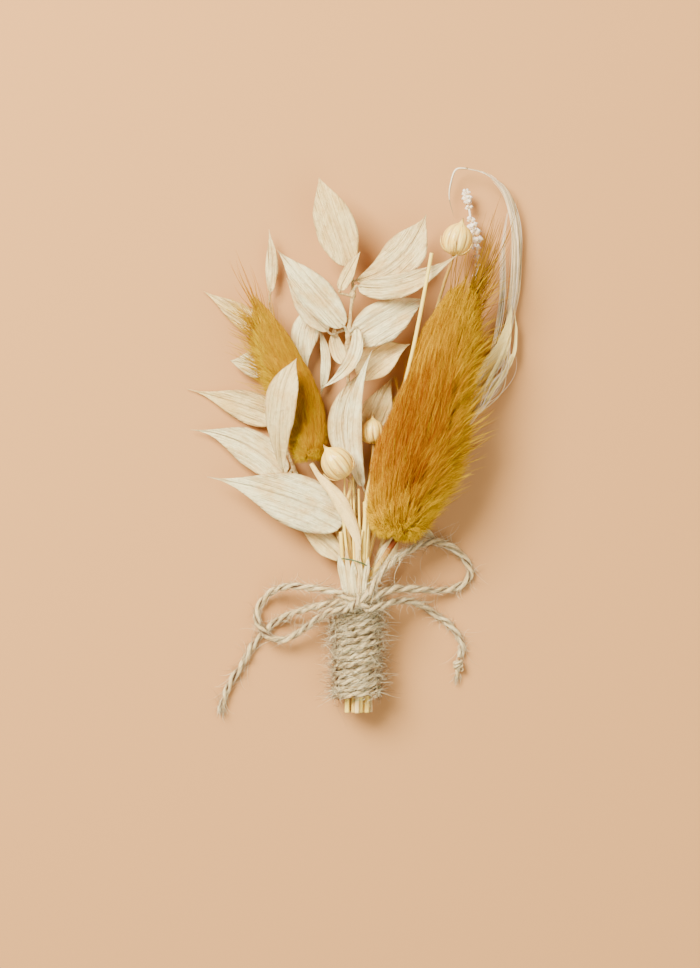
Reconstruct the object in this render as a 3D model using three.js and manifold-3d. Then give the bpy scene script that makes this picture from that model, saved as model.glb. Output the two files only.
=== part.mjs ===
// A dried-flower boutonniere lying on its back: bleached ruscus, two dyed bunny tails, flax pods,
// a heather sprig and feather grass, bound with wire, wound with jute twine and finished in a bow.
//
// Millimetres. +X is right, +Y runs from the cut stems to the tips, +Z is up from the surface
// that it lies on.
import * as THREE from "three";
import { mergeVertices } from "three/addons/utils/BufferGeometryUtils.js";
import Module from "manifold-3d";

const wasm = await Module();
wasm.setup();

// ---------------------------------------------------------------- driving dimensions

const TWINE_DIAMETER = 1.9; // two-ply jute
const WIND_PITCH = 1.97; // from one turn to the next, so the turns nearly touch
const WIND_TURNS = 13;
const WIND_BOTTOM_Y = -64.5; // the lowest turn
const BUNDLE_X = 0.5; // the axis of the bound stems
const STEM_RADIUS = 0.65; // where the stems lie side by side in the binding
const STEM_PITCH = 1.65;
const STEM_CUT_Y = -68.2; // the cut ends, just below the last turn
const BUNDLE_TOP_Y = -39; // where the stems begin to fan out
const BLADE_THICKNESS = 0.6;
const HAIR_RADIUS = 0.5; // at the root of a bunny-tail hair
const HAIR_CLEARANCE = 0.3; // hairs are bent clear of their neighbours by this much
const SMALL_HEAD_HAIRS = { rings: 15, perRing: 8, awns: 8, awnLength: 13 };
const BIG_HEAD_HAIRS = { rings: 19, perRing: 12, awns: 12, awnLength: 22 };

const STEM_SIDES = 5; // of a stem's cross-section
const TWINE_SIDES = 8; // of the free twine's
const WIND_SIDES = 5; // of the wound twine's
const WIND_STEPS = 10; // straight stretches in one turn of it
const WIND_CLEARANCE = 0.3; // between the wound twine and the outermost stems

const TWINE_RADIUS = TWINE_DIAMETER / 2;
const WIND_INNER_RADIUS = 2 * STEM_PITCH + STEM_RADIUS + WIND_CLEARANCE;
// From the bundle's axis to the middle of the twine, at the corners between straight stretches.
const WIND_RADIUS = (WIND_INNER_RADIUS + TWINE_RADIUS) / Math.cos(Math.PI / WIND_STEPS);
// The turns stand on a flat side of the five-sided twine, so this is from its middle to that side.
const WIND_APOTHEM = TWINE_RADIUS * Math.cos(Math.PI / WIND_SIDES);
// The lowest stretch of every turn lies flat on the surface, so this is how high the axis is.
const BUNDLE_Z = (WIND_RADIUS + WIND_APOTHEM) * Math.cos(Math.PI / WIND_STEPS);

const COLOURS = {
  bleached: new THREE.MeshStandardMaterial({ color: 0xe9dec2, roughness: 0.75, metalness: 0 }),
  straw: new THREE.MeshStandardMaterial({ color: 0xdcc48a, roughness: 0.65, metalness: 0 }),
  mustard: new THREE.MeshStandardMaterial({ color: 0xd39a12, roughness: 0.95, metalness: 0 }),
  ochre: new THREE.MeshStandardMaterial({ color: 0xb8741a, roughness: 0.95, metalness: 0 }),
  pod: new THREE.MeshStandardMaterial({ color: 0xe8d8a8, roughness: 0.55, metalness: 0 }),
  heather: new THREE.MeshStandardMaterial({ color: 0xe6e2d6, roughness: 0.85, metalness: 0 }),
  twine: new THREE.MeshStandardMaterial({ color: 0xc6ab82, roughness: 0.95, metalness: 0 }),
  wire: new THREE.MeshStandardMaterial({ color: 0x3f5f45, roughness: 0.5, metalness: 0.2 }),
};

// ---------------------------------------------------------------- solids and meshes

const at = ([x, y, z]) => new THREE.Vector3(x, y, z);

// A repeatable random number from 0 to 1, so that every build is the same.
function randomFrom(seed) {
  let state = seed >>> 0;
  return () => {
    state = (state + 0x6d2b79f5) >>> 0;
    let t = Math.imul(state ^ (state >>> 15), 1 | state);
    t = (t + Math.imul(t ^ (t >>> 7), 61 | t)) ^ t;
    return ((t ^ (t >>> 14)) >>> 0) / 4294967296;
  };
}

const WELD = 1e-4; // corners nearer than this are one

function solidFrom(geometry) {
  const bare = new THREE.BufferGeometry().setAttribute("position", geometry.getAttribute("position"));
  if (geometry.index) bare.setIndex(geometry.index);
  const merged = mergeVertices(bare, WELD);
  return new wasm.Manifold(
    new wasm.Mesh({
      numProp: 3,
      vertProperties: new Float32Array(merged.attributes.position.array),
      triVerts: new Uint32Array(merged.index.array),
    }),
  );
}

// A solid from its corners and its triangles, which are counted off three corners at a time.
function solidOf(corners, index) {
  const numbers = corners.flatMap((p) => [p.x, p.y, p.z]);
  const geometry = new THREE.BufferGeometry();
  geometry.setAttribute("position", new THREE.Float32BufferAttribute(numbers, 3));
  geometry.setIndex(index);
  return solidFrom(geometry);
}

function geometryFrom(solid) {
  const { vertProperties, triVerts } = solid.getMesh();
  return new THREE.BufferGeometry()
    .setAttribute("position", new THREE.BufferAttribute(vertProperties, 3))
    .setIndex(new THREE.BufferAttribute(triVerts, 1));
}

// Rings of equally many points, joined side by side and closed with a flat fan at each end.
function loft(rings) {
  const sides = rings[0].length;
  const index = [];
  for (let r = 0; r + 1 < rings.length; r++) {
    for (let s = 0; s < sides; s++) {
      const a = r * sides + s;
      const b = r * sides + ((s + 1) % sides);
      index.push(a, b, b + sides, a, b + sides, a + sides);
    }
  }
  const last = (rings.length - 1) * sides;
  for (let s = 1; s + 1 < sides; s++) {
    index.push(0, s + 1, s, last, last + s, last + s + 1);
  }
  return solidOf(rings.flat(), index);
}

// A smooth curve through the points.
function curveThrough(points) {
  return new THREE.CatmullRomCurve3(points.map(at), false, "centripetal");
}

// Evenly spaced places along a curve, with axes that turn as little as they can. The first across
// is level, and no curve here starts upright.
function framesAlong(curve, steps) {
  const frames = [];
  let across = new THREE.Vector3(0, 0, 1).cross(curve.getTangentAt(0));
  for (let i = 0; i <= steps; i++) {
    const along = curve.getTangentAt(i / steps);
    across = across.clone().addScaledVector(along, -across.dot(along)).normalize();
    const up = along.clone().cross(across);
    frames.push({ centre: curve.getPointAt(i / steps), along, across, up });
  }
  return frames;
}

// A round stalk along a curve; radiusAt takes 0 at its start to 1 at its end.
function stalk(points, radiusAt, steps, sides = STEM_SIDES) {
  const frames = framesAlong(curveThrough(points), steps);
  return loft(
    frames.map(({ centre, across, up }, i) =>
      Array.from({ length: sides }, (_, s) => {
        const angle = (2 * Math.PI * s) / sides;
        const radius = radiusAt(i / steps);
        return centre
          .clone()
          .addScaledVector(across, radius * Math.cos(angle))
          .addScaledVector(up, radius * Math.sin(angle));
      }),
    ),
  );
}

const taper = (from, to) => (t) => from + (to - from) * t;

const SPIKE_SIDE = new THREE.Vector3(0.31, 0.17, 0.94); // no spike points this way

// A three-sided needle from its root to its tip.
function spike(root, tip, radius) {
  const along = tip.clone().sub(root).normalize();
  const across = SPIKE_SIDE.clone().cross(along).normalize();
  const up = along.clone().cross(across);
  const corners = [0, 1, 2].map((s) => {
    const angle = (2 * Math.PI * s) / 3;
    return root
      .clone()
      .addScaledVector(across, radius * Math.cos(angle))
      .addScaledVector(up, radius * Math.sin(angle));
  });
  return solidOf([...corners, tip], [0, 2, 1, 0, 1, 3, 1, 2, 3, 2, 0, 3]);
}

// All the solids as one body. The scraps that thin edges leave beside it where they cross go.
function joined(solids) {
  const bodies = wasm.Manifold.union(solids).decompose();
  return bodies.reduce((largest, body) => (body.volume() > largest.volume() ? body : largest));
}

const group = new THREE.Group();
const solids = new Map();

function add(name, material, solid) {
  const mesh = new THREE.Mesh(geometryFrom(solid), material);
  mesh.name = name;
  group.add(mesh);
  solids.set(name, solid);
}

// ---------------------------------------------------------------- the bound stems

// The stems are packed like hexagons: one in the middle, six round it, and the next ring.
const inner = (degrees) => [degrees, STEM_PITCH];
const outer = (degrees) => [degrees, (degrees % 60 ? Math.sqrt(3) : 2) * STEM_PITCH];

// The straight stretch of a stem inside the winding, and then its own way out of the bundle.
function stemPath([degrees, distance], fan) {
  const angle = THREE.MathUtils.degToRad(degrees);
  const x = BUNDLE_X + distance * Math.cos(angle);
  const z = BUNDLE_Z + distance * Math.sin(angle);
  const straight = [STEM_CUT_Y, -60, -52, -45, BUNDLE_TOP_Y].map((y) => [x, y, z]);
  return [...straight, ...fan];
}

// ---------------------------------------------------------------- ruscus

const LEAF_ROWS = 6;
const WIDE_LEAF = 3.1; // half the width from which a blade is divided into four strips and not two
const LEAF_END = 0.35; // half the width that a blade still has at its ends

// Half the width of a ruscus leaf along its length, as a share of its widest. It is round near
// the stalk and drawn out to a point. A larger broad moves its widest place towards the tip,
// and a larger drawn makes the point longer.
function leafOutline(t, broad, drawn) {
  return Math.sin(Math.PI * t ** broad) ** (0.7 + drawn * t);
}

// A leaf lofted from its root inside the stem, along a short stalk to its base, and from there
// along its midrib through via to its tip. It faces up, turned about its midrib by roll, and by
// twist more at its tip. fold lifts both edges straight from the midrib, curl bends them up, and
// wave ripples them.
function leaf(shape) {
  const { from, base, via, tip, half, roll = 0, twist = 0, fold = 0.2, curl = 0, wave = 0.3 } = shape;
  const { broad = 0.74, drawn = 0.8 } = shape;
  const columns = half > WIDE_LEAF ? 4 : 2;
  const [a, m, b] = [at(base), at(via), at(tip)];
  const control = m.clone().multiplyScalar(2).addScaledVector(a, -0.5).addScaledVector(b, -0.5);
  const midrib = new THREE.QuadraticBezierCurve3(a, control, b);
  const rows = Array.from({ length: LEAF_ROWS + 1 }, (_, r) => {
    const t = r / LEAF_ROWS;
    const along = midrib.getTangent(t);
    const turn = THREE.MathUtils.degToRad(roll + twist * t);
    const side = along.clone().cross(new THREE.Vector3(0, 0, 1)).normalize().applyAxisAngle(along, turn);
    const width = LEAF_END + (half - LEAF_END) * leafOutline(t, broad, drawn);
    return { t, along, side, width, centre: midrib.getPoint(t) };
  });
  for (const share of [0.5, 0]) {
    const centre = at(from).lerp(a, share);
    const along = a.clone().sub(at(from)).normalize();
    const side = rows[0].side.clone();
    side.addScaledVector(along, -side.dot(along)).normalize();
    rows.unshift({ t: 0, along, side, width: LEAF_END, centre });
  }
  const faces = [[], []];
  for (const { t, along, side, width, centre } of rows) {
    const normal = side.clone().cross(along).normalize();
    const ripple = (wave * (width - LEAF_END)) / (half - LEAF_END);
    for (let c = 0; c <= columns; c++) {
      const v = (2 * c) / columns - 1;
      const bend = width * (fold * Math.abs(v) + curl * v * v);
      const lift = bend + ripple * v * Math.abs(v) * Math.sin(9 * t + 2 * v);
      const p = centre.clone().addScaledVector(side, v * width).addScaledVector(normal, lift);
      faces[0].push(p.clone().addScaledVector(normal, BLADE_THICKNESS / 2));
      faces[1].push(p.clone().addScaledVector(normal, -BLADE_THICKNESS / 2));
    }
  }
  return closedSheet(faces, rows.length - 1, columns);
}

// Two like grids of points, the faces of a thin sheet, joined round their edges. Both are
// divided into triangles alike.
function closedSheet(faces, rows, columns) {
  const row = columns + 1;
  const count = row * (rows + 1);
  const index = [];
  const quad = (p, q, s, t) => index.push(p, q, s, p, s, t);
  for (let r = 0; r < rows; r++) {
    for (let c = 0; c < columns; c++) {
      const i = r * row + c;
      index.push(i, i + 1, i + row + 1, i, i + row + 1, i + row);
      index.push(count + i, count + i + row + 1, count + i + 1);
      index.push(count + i, count + i + row, count + i + row + 1);
    }
    const left = r * row;
    const right = left + columns;
    quad(left, left + row, left + row + count, left + count);
    quad(right, right + count, right + row + count, right + row);
  }
  const top = rows * row;
  for (let c = 0; c < columns; c++) {
    quad(c, c + count, c + 1 + count, c + 1);
    quad(top + c, top + c + 1, top + c + 1 + count, top + c + count);
  }
  return solidOf(faces.flat(), index);
}

const RUSCUS_CENTRE_STEM = stemPath(
  [0, 0],
  [
    [0.3, -30, 6.0],
    [0, -15, 6.4],
    [-1, 0, 6.9],
    [-1.75, 15, 7.4],
    [-1.9, 22, 7.7],
    [-1.2, 31, 8.1],
    [-0.5, 38, 8.5],
    [-1.2, 42.5, 9],
    [-1, 46.5, 9.6],
  ],
);
const RUSCUS_CENTRE_LEAVES = [
  { from: [-1.1, 45, 9.4], base: [-1.5, 43.5, 9.2], via: [-5.5, 55, 10.4], tip: [-9, 65.5, 9],
    half: 5.1, roll: -6, fold: 0.12, curl: 0.12, drawn: 0.5 },
  { from: [-1.8, 26, 7.9], base: [-2.8, 28.3, 8.8], via: [-11.2, 37.6, 10.3], tip: [-19.4, 47.4, 9.4],
    half: 4.4, roll: 8, fold: 0.2 },
  { from: [-0.7, 36.4, 8.4], base: [0.4, 39.8, 8.8], via: [11, 45.4, 9], tip: [17.8, 56.4, 8.2],
    half: 4.9, roll: 6, fold: 0.15, broad: 1.2 },
  { from: [-0.6, 36.8, 8.4], base: [0.9, 38.2, 9.8], via: [12.6, 38.8, 12], tip: [25.4, 45.8, 13.8],
    half: 3.1, roll: 8, fold: 0.15, curl: 0.1 },
  { from: [-1.7, 23.5, 7.7], base: [-0.4, 24.8, 7.6], via: [8.3, 30.4, 8.3], tip: [17.4, 35.4, 6.6],
    half: 5.2, roll: 4, fold: 0.12, drawn: 0.4 },
  { from: [-1.8, 26.5, 7.9], base: [0.4, 27.6, 9.4], via: [-1.2, 19, 11.6], tip: [-8.6, 12.8, 10.8],
    half: 1.9, roll: 8, fold: 0.3 },
  { from: [-1.6, 12, 7.3], base: [1.4, 15.2, 6], via: [6.8, 20.4, 5], tip: [14, 24.2, 4.4],
    half: 4.6, roll: -12, fold: 0.25, curl: 0.35 },
  { from: [0, -14, 6.4], base: [-0.4, -7.4, 8.2], via: [-2.8, 6, 9.2], tip: [2.4, 18, 8.8],
    half: 3.9, roll: 4, fold: 0.1, curl: 0.1 },
  { from: [0.3, -29, 6.1], base: [1.9, -11.6, 9.6], via: [-0.4, 5, 11.3], tip: [4.3, 22.4, 10.9],
    half: 2.3, roll: -6, fold: 0.25 },
  { from: [-0.9, -1, 6.8], base: [3.2, 1.5, 3], via: [6, 8.4, 2.4], tip: [9.4, 16, 2.6],
    half: 3.8, roll: 0, fold: 0.15 },
  { from: [-1.6, 28, 7.9], base: [-6.8, 27.4, 6.4], via: [-12.4, 33.4, 6.2], tip: [-17.2, 40.6, 6.4],
    half: 2.8, roll: 14, fold: 0.2 },
  { from: [-1.8, 24, 7.7], base: [-2.6, 19.4, 6], via: [-4.6, 23.6, 5], tip: [-5.2, 29.4, 5],
    half: 2, roll: -14, fold: 0.3 },
  { from: [-1.4, 29.6, 8], base: [-8.2, 33.4, 4.9], via: [-12.7, 26.6, 4], tip: [-11.8, 17.4, 3.8],
    half: 3.6, roll: 0, fold: 0.1, broad: 0.9 },
  { from: [-0.8, 36, 8.4], base: [-3.6, 37.4, 9.4], via: [-1.6, 41.6, 10.4], tip: [1.3, 46.8, 10.8],
    half: 1.7, roll: -8, fold: 0.35, drawn: 0.5 },
];

const RUSCUS_LEFT_STEM = stemPath(inner(180), [
  [-2.2, -33, 5.2],
  [-4, -24, 4.8],
  [-9.5, -15.5, 4.6],
  [-14.5, -9, 3.8],
  [-17.4, -2, 2.5],
  [-19, 3.4, 1.9],
]);
const RUSCUS_LEFT_LEAVES = [
  { from: [-18.8, 2.6, 2], base: [-19.2, 5.4, 2], via: [-29.4, 9.3, 1.9], tip: [-42.6, 13.1, 0.5],
    half: 4.2, roll: -4, fold: 0.06, broad: 0.66, drawn: 1.6 },
  { from: [-15.6, -7, 3.4], base: [-17.6, -8.8, 3.6], via: [-28.6, -0.6, 3.4], tip: [-41.6, 2.7, 1.4],
    half: 4.8, roll: -6, fold: 0.08, broad: 0.62, drawn: 1.6 },
  { from: [-4, -24, 4.8], base: [-2.8, -20.8, 6.4], via: [-18, -14, 7.8], tip: [-37.2, -9.2, 5.2],
    half: 6.7, roll: 2, fold: 0.08, broad: 0.66, drawn: 1.3 },
  { from: [-14.4, -9.1, 3.8], base: [-18, -7.4, 8.4], via: [-18.2, 7.6, 15.6], tip: [-14.4, 20, 15.6],
    half: 4.1, roll: -10, fold: 0.3, broad: 1.25, drawn: 0.7 },
  { from: [-2.2, -33, 5.2], base: [-3.2, -30, 5], via: [-8.6, -25, 4.4], tip: [-15, -20.8, 3.6],
    half: 2.9, roll: 8, fold: 0.15 },
];

const RUSCUS_BACK_STEM = stemPath(outer(210), [
  [-1.6, -33, 3.6],
  [-3.4, -22, 2.3],
  [-7.4, -8, 1.8],
  [-12, 6, 1.7],
  [-16.4, 18, 1.7],
  [-19.6, 27, 1.9],
]);
const RUSCUS_BACK_LEAVES = [
  { from: [-19.3, 26.4, 1.9], base: [-21.3, 37.6, 2.6], via: [-21, 45.5, 3.2], tip: [-21.7, 53.2, 3],
    half: 1.6, roll: 6, fold: 0.3, drawn: 1.2 },
  { from: [-18, 22.6, 1.8], base: [-21.6, 26.2, 2], via: [-29.6, 32.2, 1.9], tip: [-38.7, 38, 1],
    half: 2.9, roll: -8, fold: 0.1, drawn: 1.2 },
  { from: [-16.2, 17.6, 1.7], base: [-19.6, 20, 1.9], via: [-26, 19.4, 2.2], tip: [-31.6, 20.2, 2.6],
    half: 3.7, roll: 6, fold: 0.15 },
  { from: [-9.5, -1.6, 1.8], base: [-8.2, 13.2, 2.4], via: [-7.4, 21.6, 2.6], tip: [-9.5, 29, 2.6],
    half: 1.3, roll: -10, fold: 0.3 },
];

const RUSCUS_RIGHT_STEM = stemPath(outer(0), [
  [5, -35, 6.2],
  [7.2, -30, 5],
  [10.6, -24.5, 3.6],
  [12.4, -21, 3],
]);
const RUSCUS_RIGHT_LEAVES = [
  { from: [11.6, -22.6, 3.2], base: [13, -21.2, 2.9], via: [17, -22.8, 2.7], tip: [21.7, -26.2, 2.3],
    half: 1.5, roll: -10, fold: 0.25 },
  { from: [5, -35, 6.2], base: [5.8, -33, 6.6], via: [8.4, -28, 6.8], tip: [11.4, -22, 5.8],
    half: 2.3, roll: 6, fold: 0.2 },
];

// A branch with all its leaves; it stays thick for longer than an even taper would.
function ruscus(stem, leaves, topRadius) {
  const thinning = (t) => STEM_RADIUS + (topRadius - STEM_RADIUS) * t * t;
  return joined([stalk(stem, thinning, 16), ...leaves.map(leaf)]);
}

add("ruscus_centre", COLOURS.bleached, ruscus(RUSCUS_CENTRE_STEM, RUSCUS_CENTRE_LEAVES, 0.45));
add("ruscus_left", COLOURS.bleached, ruscus(RUSCUS_LEFT_STEM, RUSCUS_LEFT_LEAVES, 0.5));
add("ruscus_back", COLOURS.bleached, ruscus(RUSCUS_BACK_STEM, RUSCUS_BACK_LEAVES, 0.45));
add("ruscus_right", COLOURS.bleached, ruscus(RUSCUS_RIGHT_STEM, RUSCUS_RIGHT_LEAVES, 0.5));

// ---------------------------------------------------------------- flax

const POD_LOBES = 10;
const POD_ROWS = 5;
const POD_GROOVE = 0.93; // how far out the grooves between its lobes lie, as a share of its radius
const SEPALS = 5;

// A flax capsule: a ball with ten low lobes, drawn up to a short beak, with five sepals under it.
function flaxPod({ centre, beak, radius }) {
  const axis = at(beak).sub(at(centre)).normalize();
  const turn = new THREE.Quaternion().setFromUnitVectors(new THREE.Vector3(0, 0, 1), axis);
  const place = (p) => p.applyQuaternion(turn).add(at(centre));
  const rings = [];
  for (let r = 0; r <= POD_ROWS; r++) {
    const polar = Math.PI * (0.06 + (0.9 * r) / POD_ROWS);
    const height = -radius * Math.cos(polar) * 1.05;
    rings.push(
      Array.from({ length: 2 * POD_LOBES }, (_, s) => {
        const angle = (Math.PI * s) / POD_LOBES;
        const out = radius * Math.sin(polar) * (s % 2 ? POD_GROOVE : 1);
        return place(new THREE.Vector3(out * Math.cos(angle), out * Math.sin(angle), height));
      }),
    );
  }
  const beakCone = new THREE.ConeGeometry(radius * 0.34, radius * 0.62, 6);
  beakCone.rotateX(Math.PI / 2).translate(0, 0, radius * 1.17);
  beakCone.applyQuaternion(turn).translate(...centre);
  const sepals = Array.from({ length: SEPALS }, (_, s) => {
    const angle = (2 * Math.PI * s) / SEPALS;
    const out = new THREE.Vector3(Math.cos(angle), Math.sin(angle), 0).multiplyScalar(radius);
    const root = place(out.clone().multiplyScalar(0.35).setZ(-0.85 * radius));
    const tip = place(out.clone().multiplyScalar(1.22).setZ(-0.5 * radius));
    return spike(root, tip, 0.6);
  });
  return [loft(rings), solidFrom(beakCone), ...sepals];
}

// A pod on its stem, whose last two points lead into the pod along its axis.
function flax(slot, fan, pod) {
  const axis = at(pod.beak).sub(at(pod.centre)).normalize();
  const seat = at(pod.centre).addScaledVector(axis, -0.9 * pod.radius).toArray();
  const below = at(pod.centre).addScaledVector(axis, -1.5 * pod.radius).toArray();
  const stem = stemPath(slot, [...fan, below, seat]);
  return joined([stalk(stem, taper(STEM_RADIUS, 0.45), 15), ...flaxPod(pod)]);
}

add(
  "flax_front",
  COLOURS.pod,
  flax(
    inner(120),
    [
      [-0.6, -33, 7.9],
      [-1.5, -24, 8.3],
      [-2.3, -17, 9.4],
    ],
    { centre: [-4.4, -5.9, 14.7], beak: [-7.5, -1.8, 15.8], radius: 3.9 },
  ),
);
add(
  "flax_middle",
  COLOURS.pod,
  flax(
    inner(0),
    [
      [2.8, -33, 6.6],
      [3.4, -22, 7.6],
      [3.6, -12, 7.8],
    ],
    { centre: [4.5, 2, 7.6], beak: [4.4, 6, 7.7], radius: 2.9 },
  ),
);
add(
  "flax_top",
  COLOURS.pod,
  flax(
    inner(300),
    [
      [2.6, -33, 4.4],
      [6.5, -17, 4.2],
      [12, 5, 4.2],
      [17, 22, 4.3],
      [20.2, 32, 5.2],
      [22.6, 40, 7],
    ],
    { centre: [25.5, 49.8, 9.4], beak: [26.6, 54, 9.9], radius: 3.8 },
  ),
);

// ---------------------------------------------------------------- straw

add(
  "straw_long",
  COLOURS.straw,
  stalk(
    stemPath(inner(60), [
      [1.9, -33, 9],
      [2.4, -22, 10.2],
      [3, -14, 10.6],
      [4.4, -8, 10.8],
      [6.9, 0, 11],
      [11.2, 10, 12.6],
      [13.8, 20, 14.8],
      [15.9, 30, 15.2],
      [18.9, 46, 15.2],
    ]),
    taper(STEM_RADIUS, 0.45),
    20,
  ),
);
add(
  "straw_short",
  COLOURS.straw,
  stalk(
    stemPath(outer(150), [
      [-2.9, -33, 7.4],
      [-3.3, -27, 7.6],
      [-3.5, -23, 7.8],
    ]),
    taper(STEM_RADIUS, 0.55),
    10,
  ),
);

// ---------------------------------------------------------------- heather

const HEATHER_STEM = stemPath(outer(270), [
  [1.4, -32, 1.9],
  [6, -15, 1.1],
  [13, 3, 0.7],
  [20, 18, 0.6],
  [27, 33, 0.9],
  [31, 44, 1.6],
  [30.4, 50, 2.4],
  [29.2, 56, 2.9],
  [28, 63.2, 3.2],
]);
const HEATHER_FIRST_SCALE = 0.83; // where the scales begin, as a share of the stem
const HEATHER_WHORLS = 8;
const HEATHER_SCALES = 3; // in one whorl
const HEATHER_SCALE_LENGTH = 2.2;
const HEATHER_SCALE_RADIUS = 0.55;
const HEATHER_SPREAD = [0.62, 0.42]; // how far the lowest and highest scales stand out, as a share

// A spike of small pointed scales that overlap upwards in whorls.
function heather() {
  const curve = curveThrough(HEATHER_STEM);
  const scales = [];
  for (let w = 0; w < HEATHER_WHORLS; w++) {
    const share = HEATHER_FIRST_SCALE + ((1 - HEATHER_FIRST_SCALE) * w) / (HEATHER_WHORLS - 0.5);
    const centre = curve.getPointAt(share);
    const along = curve.getTangentAt(share);
    const across = along.clone().cross(new THREE.Vector3(0, 0, 1)).normalize();
    const spread = THREE.MathUtils.lerp(...HEATHER_SPREAD, w / HEATHER_WHORLS);
    for (let s = 0; s < HEATHER_SCALES; s++) {
      const angle = (2 * Math.PI * (s + 0.5 * (w % 2))) / HEATHER_SCALES;
      const out = across.clone().applyAxisAngle(along, angle);
      const root = centre.clone().addScaledVector(out, 0.3);
      const tip = root
        .clone()
        .addScaledVector(along, HEATHER_SCALE_LENGTH * 0.72)
        .addScaledVector(out, HEATHER_SCALE_LENGTH * spread);
      scales.push(spike(root, tip, HEATHER_SCALE_RADIUS));
    }
  }
  return joined([stalk(HEATHER_STEM, taper(STEM_RADIUS, 0.45), 15), ...scales]);
}

add("heather_sprig", COLOURS.heather, heather());

// ---------------------------------------------------------------- feather grass

const GRASS_STEM = stemPath(outer(330), [
  [4.8, -32, 3.4],
  [10, -18, 2.2],
  [18, -4, 1.6],
  [26, 6, 1.5],
  [31, 12, 1.6],
]);
// Narrow blades and long awns, each by half its width at the root and the points that it passes.
const GRASS_BLADES = [
  { width: 1.2, points: [[30, 11, 1.5], [34.6, 13.4, 1.8], [37.6, 17, 2.4], [39, 24, 3.4]] },
  { width: 2.4, points: [[29.5, 10.5, 1.6], [33, 17, 3], [36, 22, 4], [38.4, 28, 4.6],
    [39.4, 34, 4.6]] },
  { width: 0.7, points: [[30, 11, 1.6], [35.5, 20, 2], [39.3, 33, 2.8], [40.4, 46, 3.4], [39.6, 56, 4],
    [37.4, 62.6, 4.4], [33, 67, 4.6], [27.8, 68.6, 4.4]] },
  { width: 0.6, points: [[30, 11, 1.6], [36.6, 22, 1.4], [40.6, 35, 1.6], [41.6, 47, 2.2],
    [40.6, 57, 2.8], [38, 63.4, 3.2], [35, 66.2, 3.4]] },
  { width: 0.5, points: [[29, 9.6, 1.5], [34.6, 22, 3.4], [37, 37, 4.8], [37.4, 50, 4.8],
    [38.6, 58, 4.6]] },
  { width: 0.8, points: [[24, 3.8, 1.5], [29, 5.6, 1.3], [34.6, 10.2, 1.2]] },
];
const GRASS_THREAD = [
  [28.4, 68.5, 4.4], [25.6, 68.2, 4.2], [24.2, 65, 3.6], [23.8, 61.4, 2.8], [25.1, 56.4, 1.6],
];
const RIBBON_THICKNESS = 0.7;
const RIBBON_END = 0.3; // half the width that a ribbon still has at its end

// A four-sided ribbon along a curve, from half its width at the root to nearly a point.
function ribbon(points, width, steps) {
  const frames = framesAlong(curveThrough(points), steps);
  return loft(
    frames.map(({ centre, across, up }, i) => {
      const half = Math.max(RIBBON_END, width * (1 - (i / steps) ** 2));
      return [
        [half, 0],
        [0, RIBBON_THICKNESS / 2],
        [-half, 0],
        [0, -RIBBON_THICKNESS / 2],
      ].map(([x, z]) => centre.clone().addScaledVector(across, x).addScaledVector(up, z));
    }),
  );
}

add(
  "feather_grass",
  COLOURS.bleached,
  joined([
    stalk(GRASS_STEM, taper(STEM_RADIUS, 0.5), 11),
    ...GRASS_BLADES.map(({ width, points }) => ribbon(points, width, Math.ceil(1.7 * points.length))),
    ribbon(GRASS_THREAD, 0.35, 8),
  ]),
);

// ---------------------------------------------------------------- jute twine

// One length of twine wound round the stems as a close helix whose turns rise to the right in front.
function winding() {
  const steps = WIND_TURNS * WIND_STEPS;
  const rings = [];
  for (let i = 0; i <= steps; i++) {
    // Half a step off, so that a straight stretch and not a corner lies lowest in each turn.
    const turn = -(2 * Math.PI * (i + 0.5)) / WIND_STEPS - Math.PI / 2;
    const centre = new THREE.Vector3(
      BUNDLE_X + WIND_RADIUS * Math.cos(turn),
      WIND_BOTTOM_Y + (WIND_PITCH * i) / WIND_STEPS,
      BUNDLE_Z + WIND_RADIUS * Math.sin(turn),
    );
    const out = new THREE.Vector3(Math.cos(turn), 0, Math.sin(turn));
    rings.push(
      Array.from({ length: WIND_SIDES }, (_, s) => {
        const angle = -(2 * Math.PI * (s + 0.5)) / WIND_SIDES;
        return centre
          .clone()
          .addScaledVector(out, TWINE_RADIUS * Math.cos(angle))
          .add(new THREE.Vector3(0, TWINE_RADIUS * Math.sin(angle), 0));
      }),
    );
  }
  return loft(rings);
}

const KNOT = [0.2, -40.4, 13.2];
const KNOT_SIDES = 6;
// The two strands that cross in the bow's knot and the one drawn round them, from its middle.
const KNOT_STRANDS = [
  { radius: 0.95, points: [[-2.2, -0.6, 0], [-0.8, -0.3, 0.5], [0.8, 0.3, 0.5], [2.2, 0.6, 0]] },
  { radius: 0.9, points: [[-2.1, 0.9, -0.1], [0, 0.1, -0.1], [2.1, -0.9, -0.1]] },
  { radius: 0.85, points: [[-0.9, -1.7, 0.1], [-0.5, -0.9, 1.2], [0.4, 0.9, 1.3], [0.9, 1.8, 0.2]] },
];

function knot() {
  return joined(
    KNOT_STRANDS.map(({ radius, points }) => {
      const placed = points.map((p) => p.map((value, axis) => value + KNOT[axis]));
      return stalk(placed, () => radius, points.length, KNOT_SIDES);
    }),
  );
}

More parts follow.
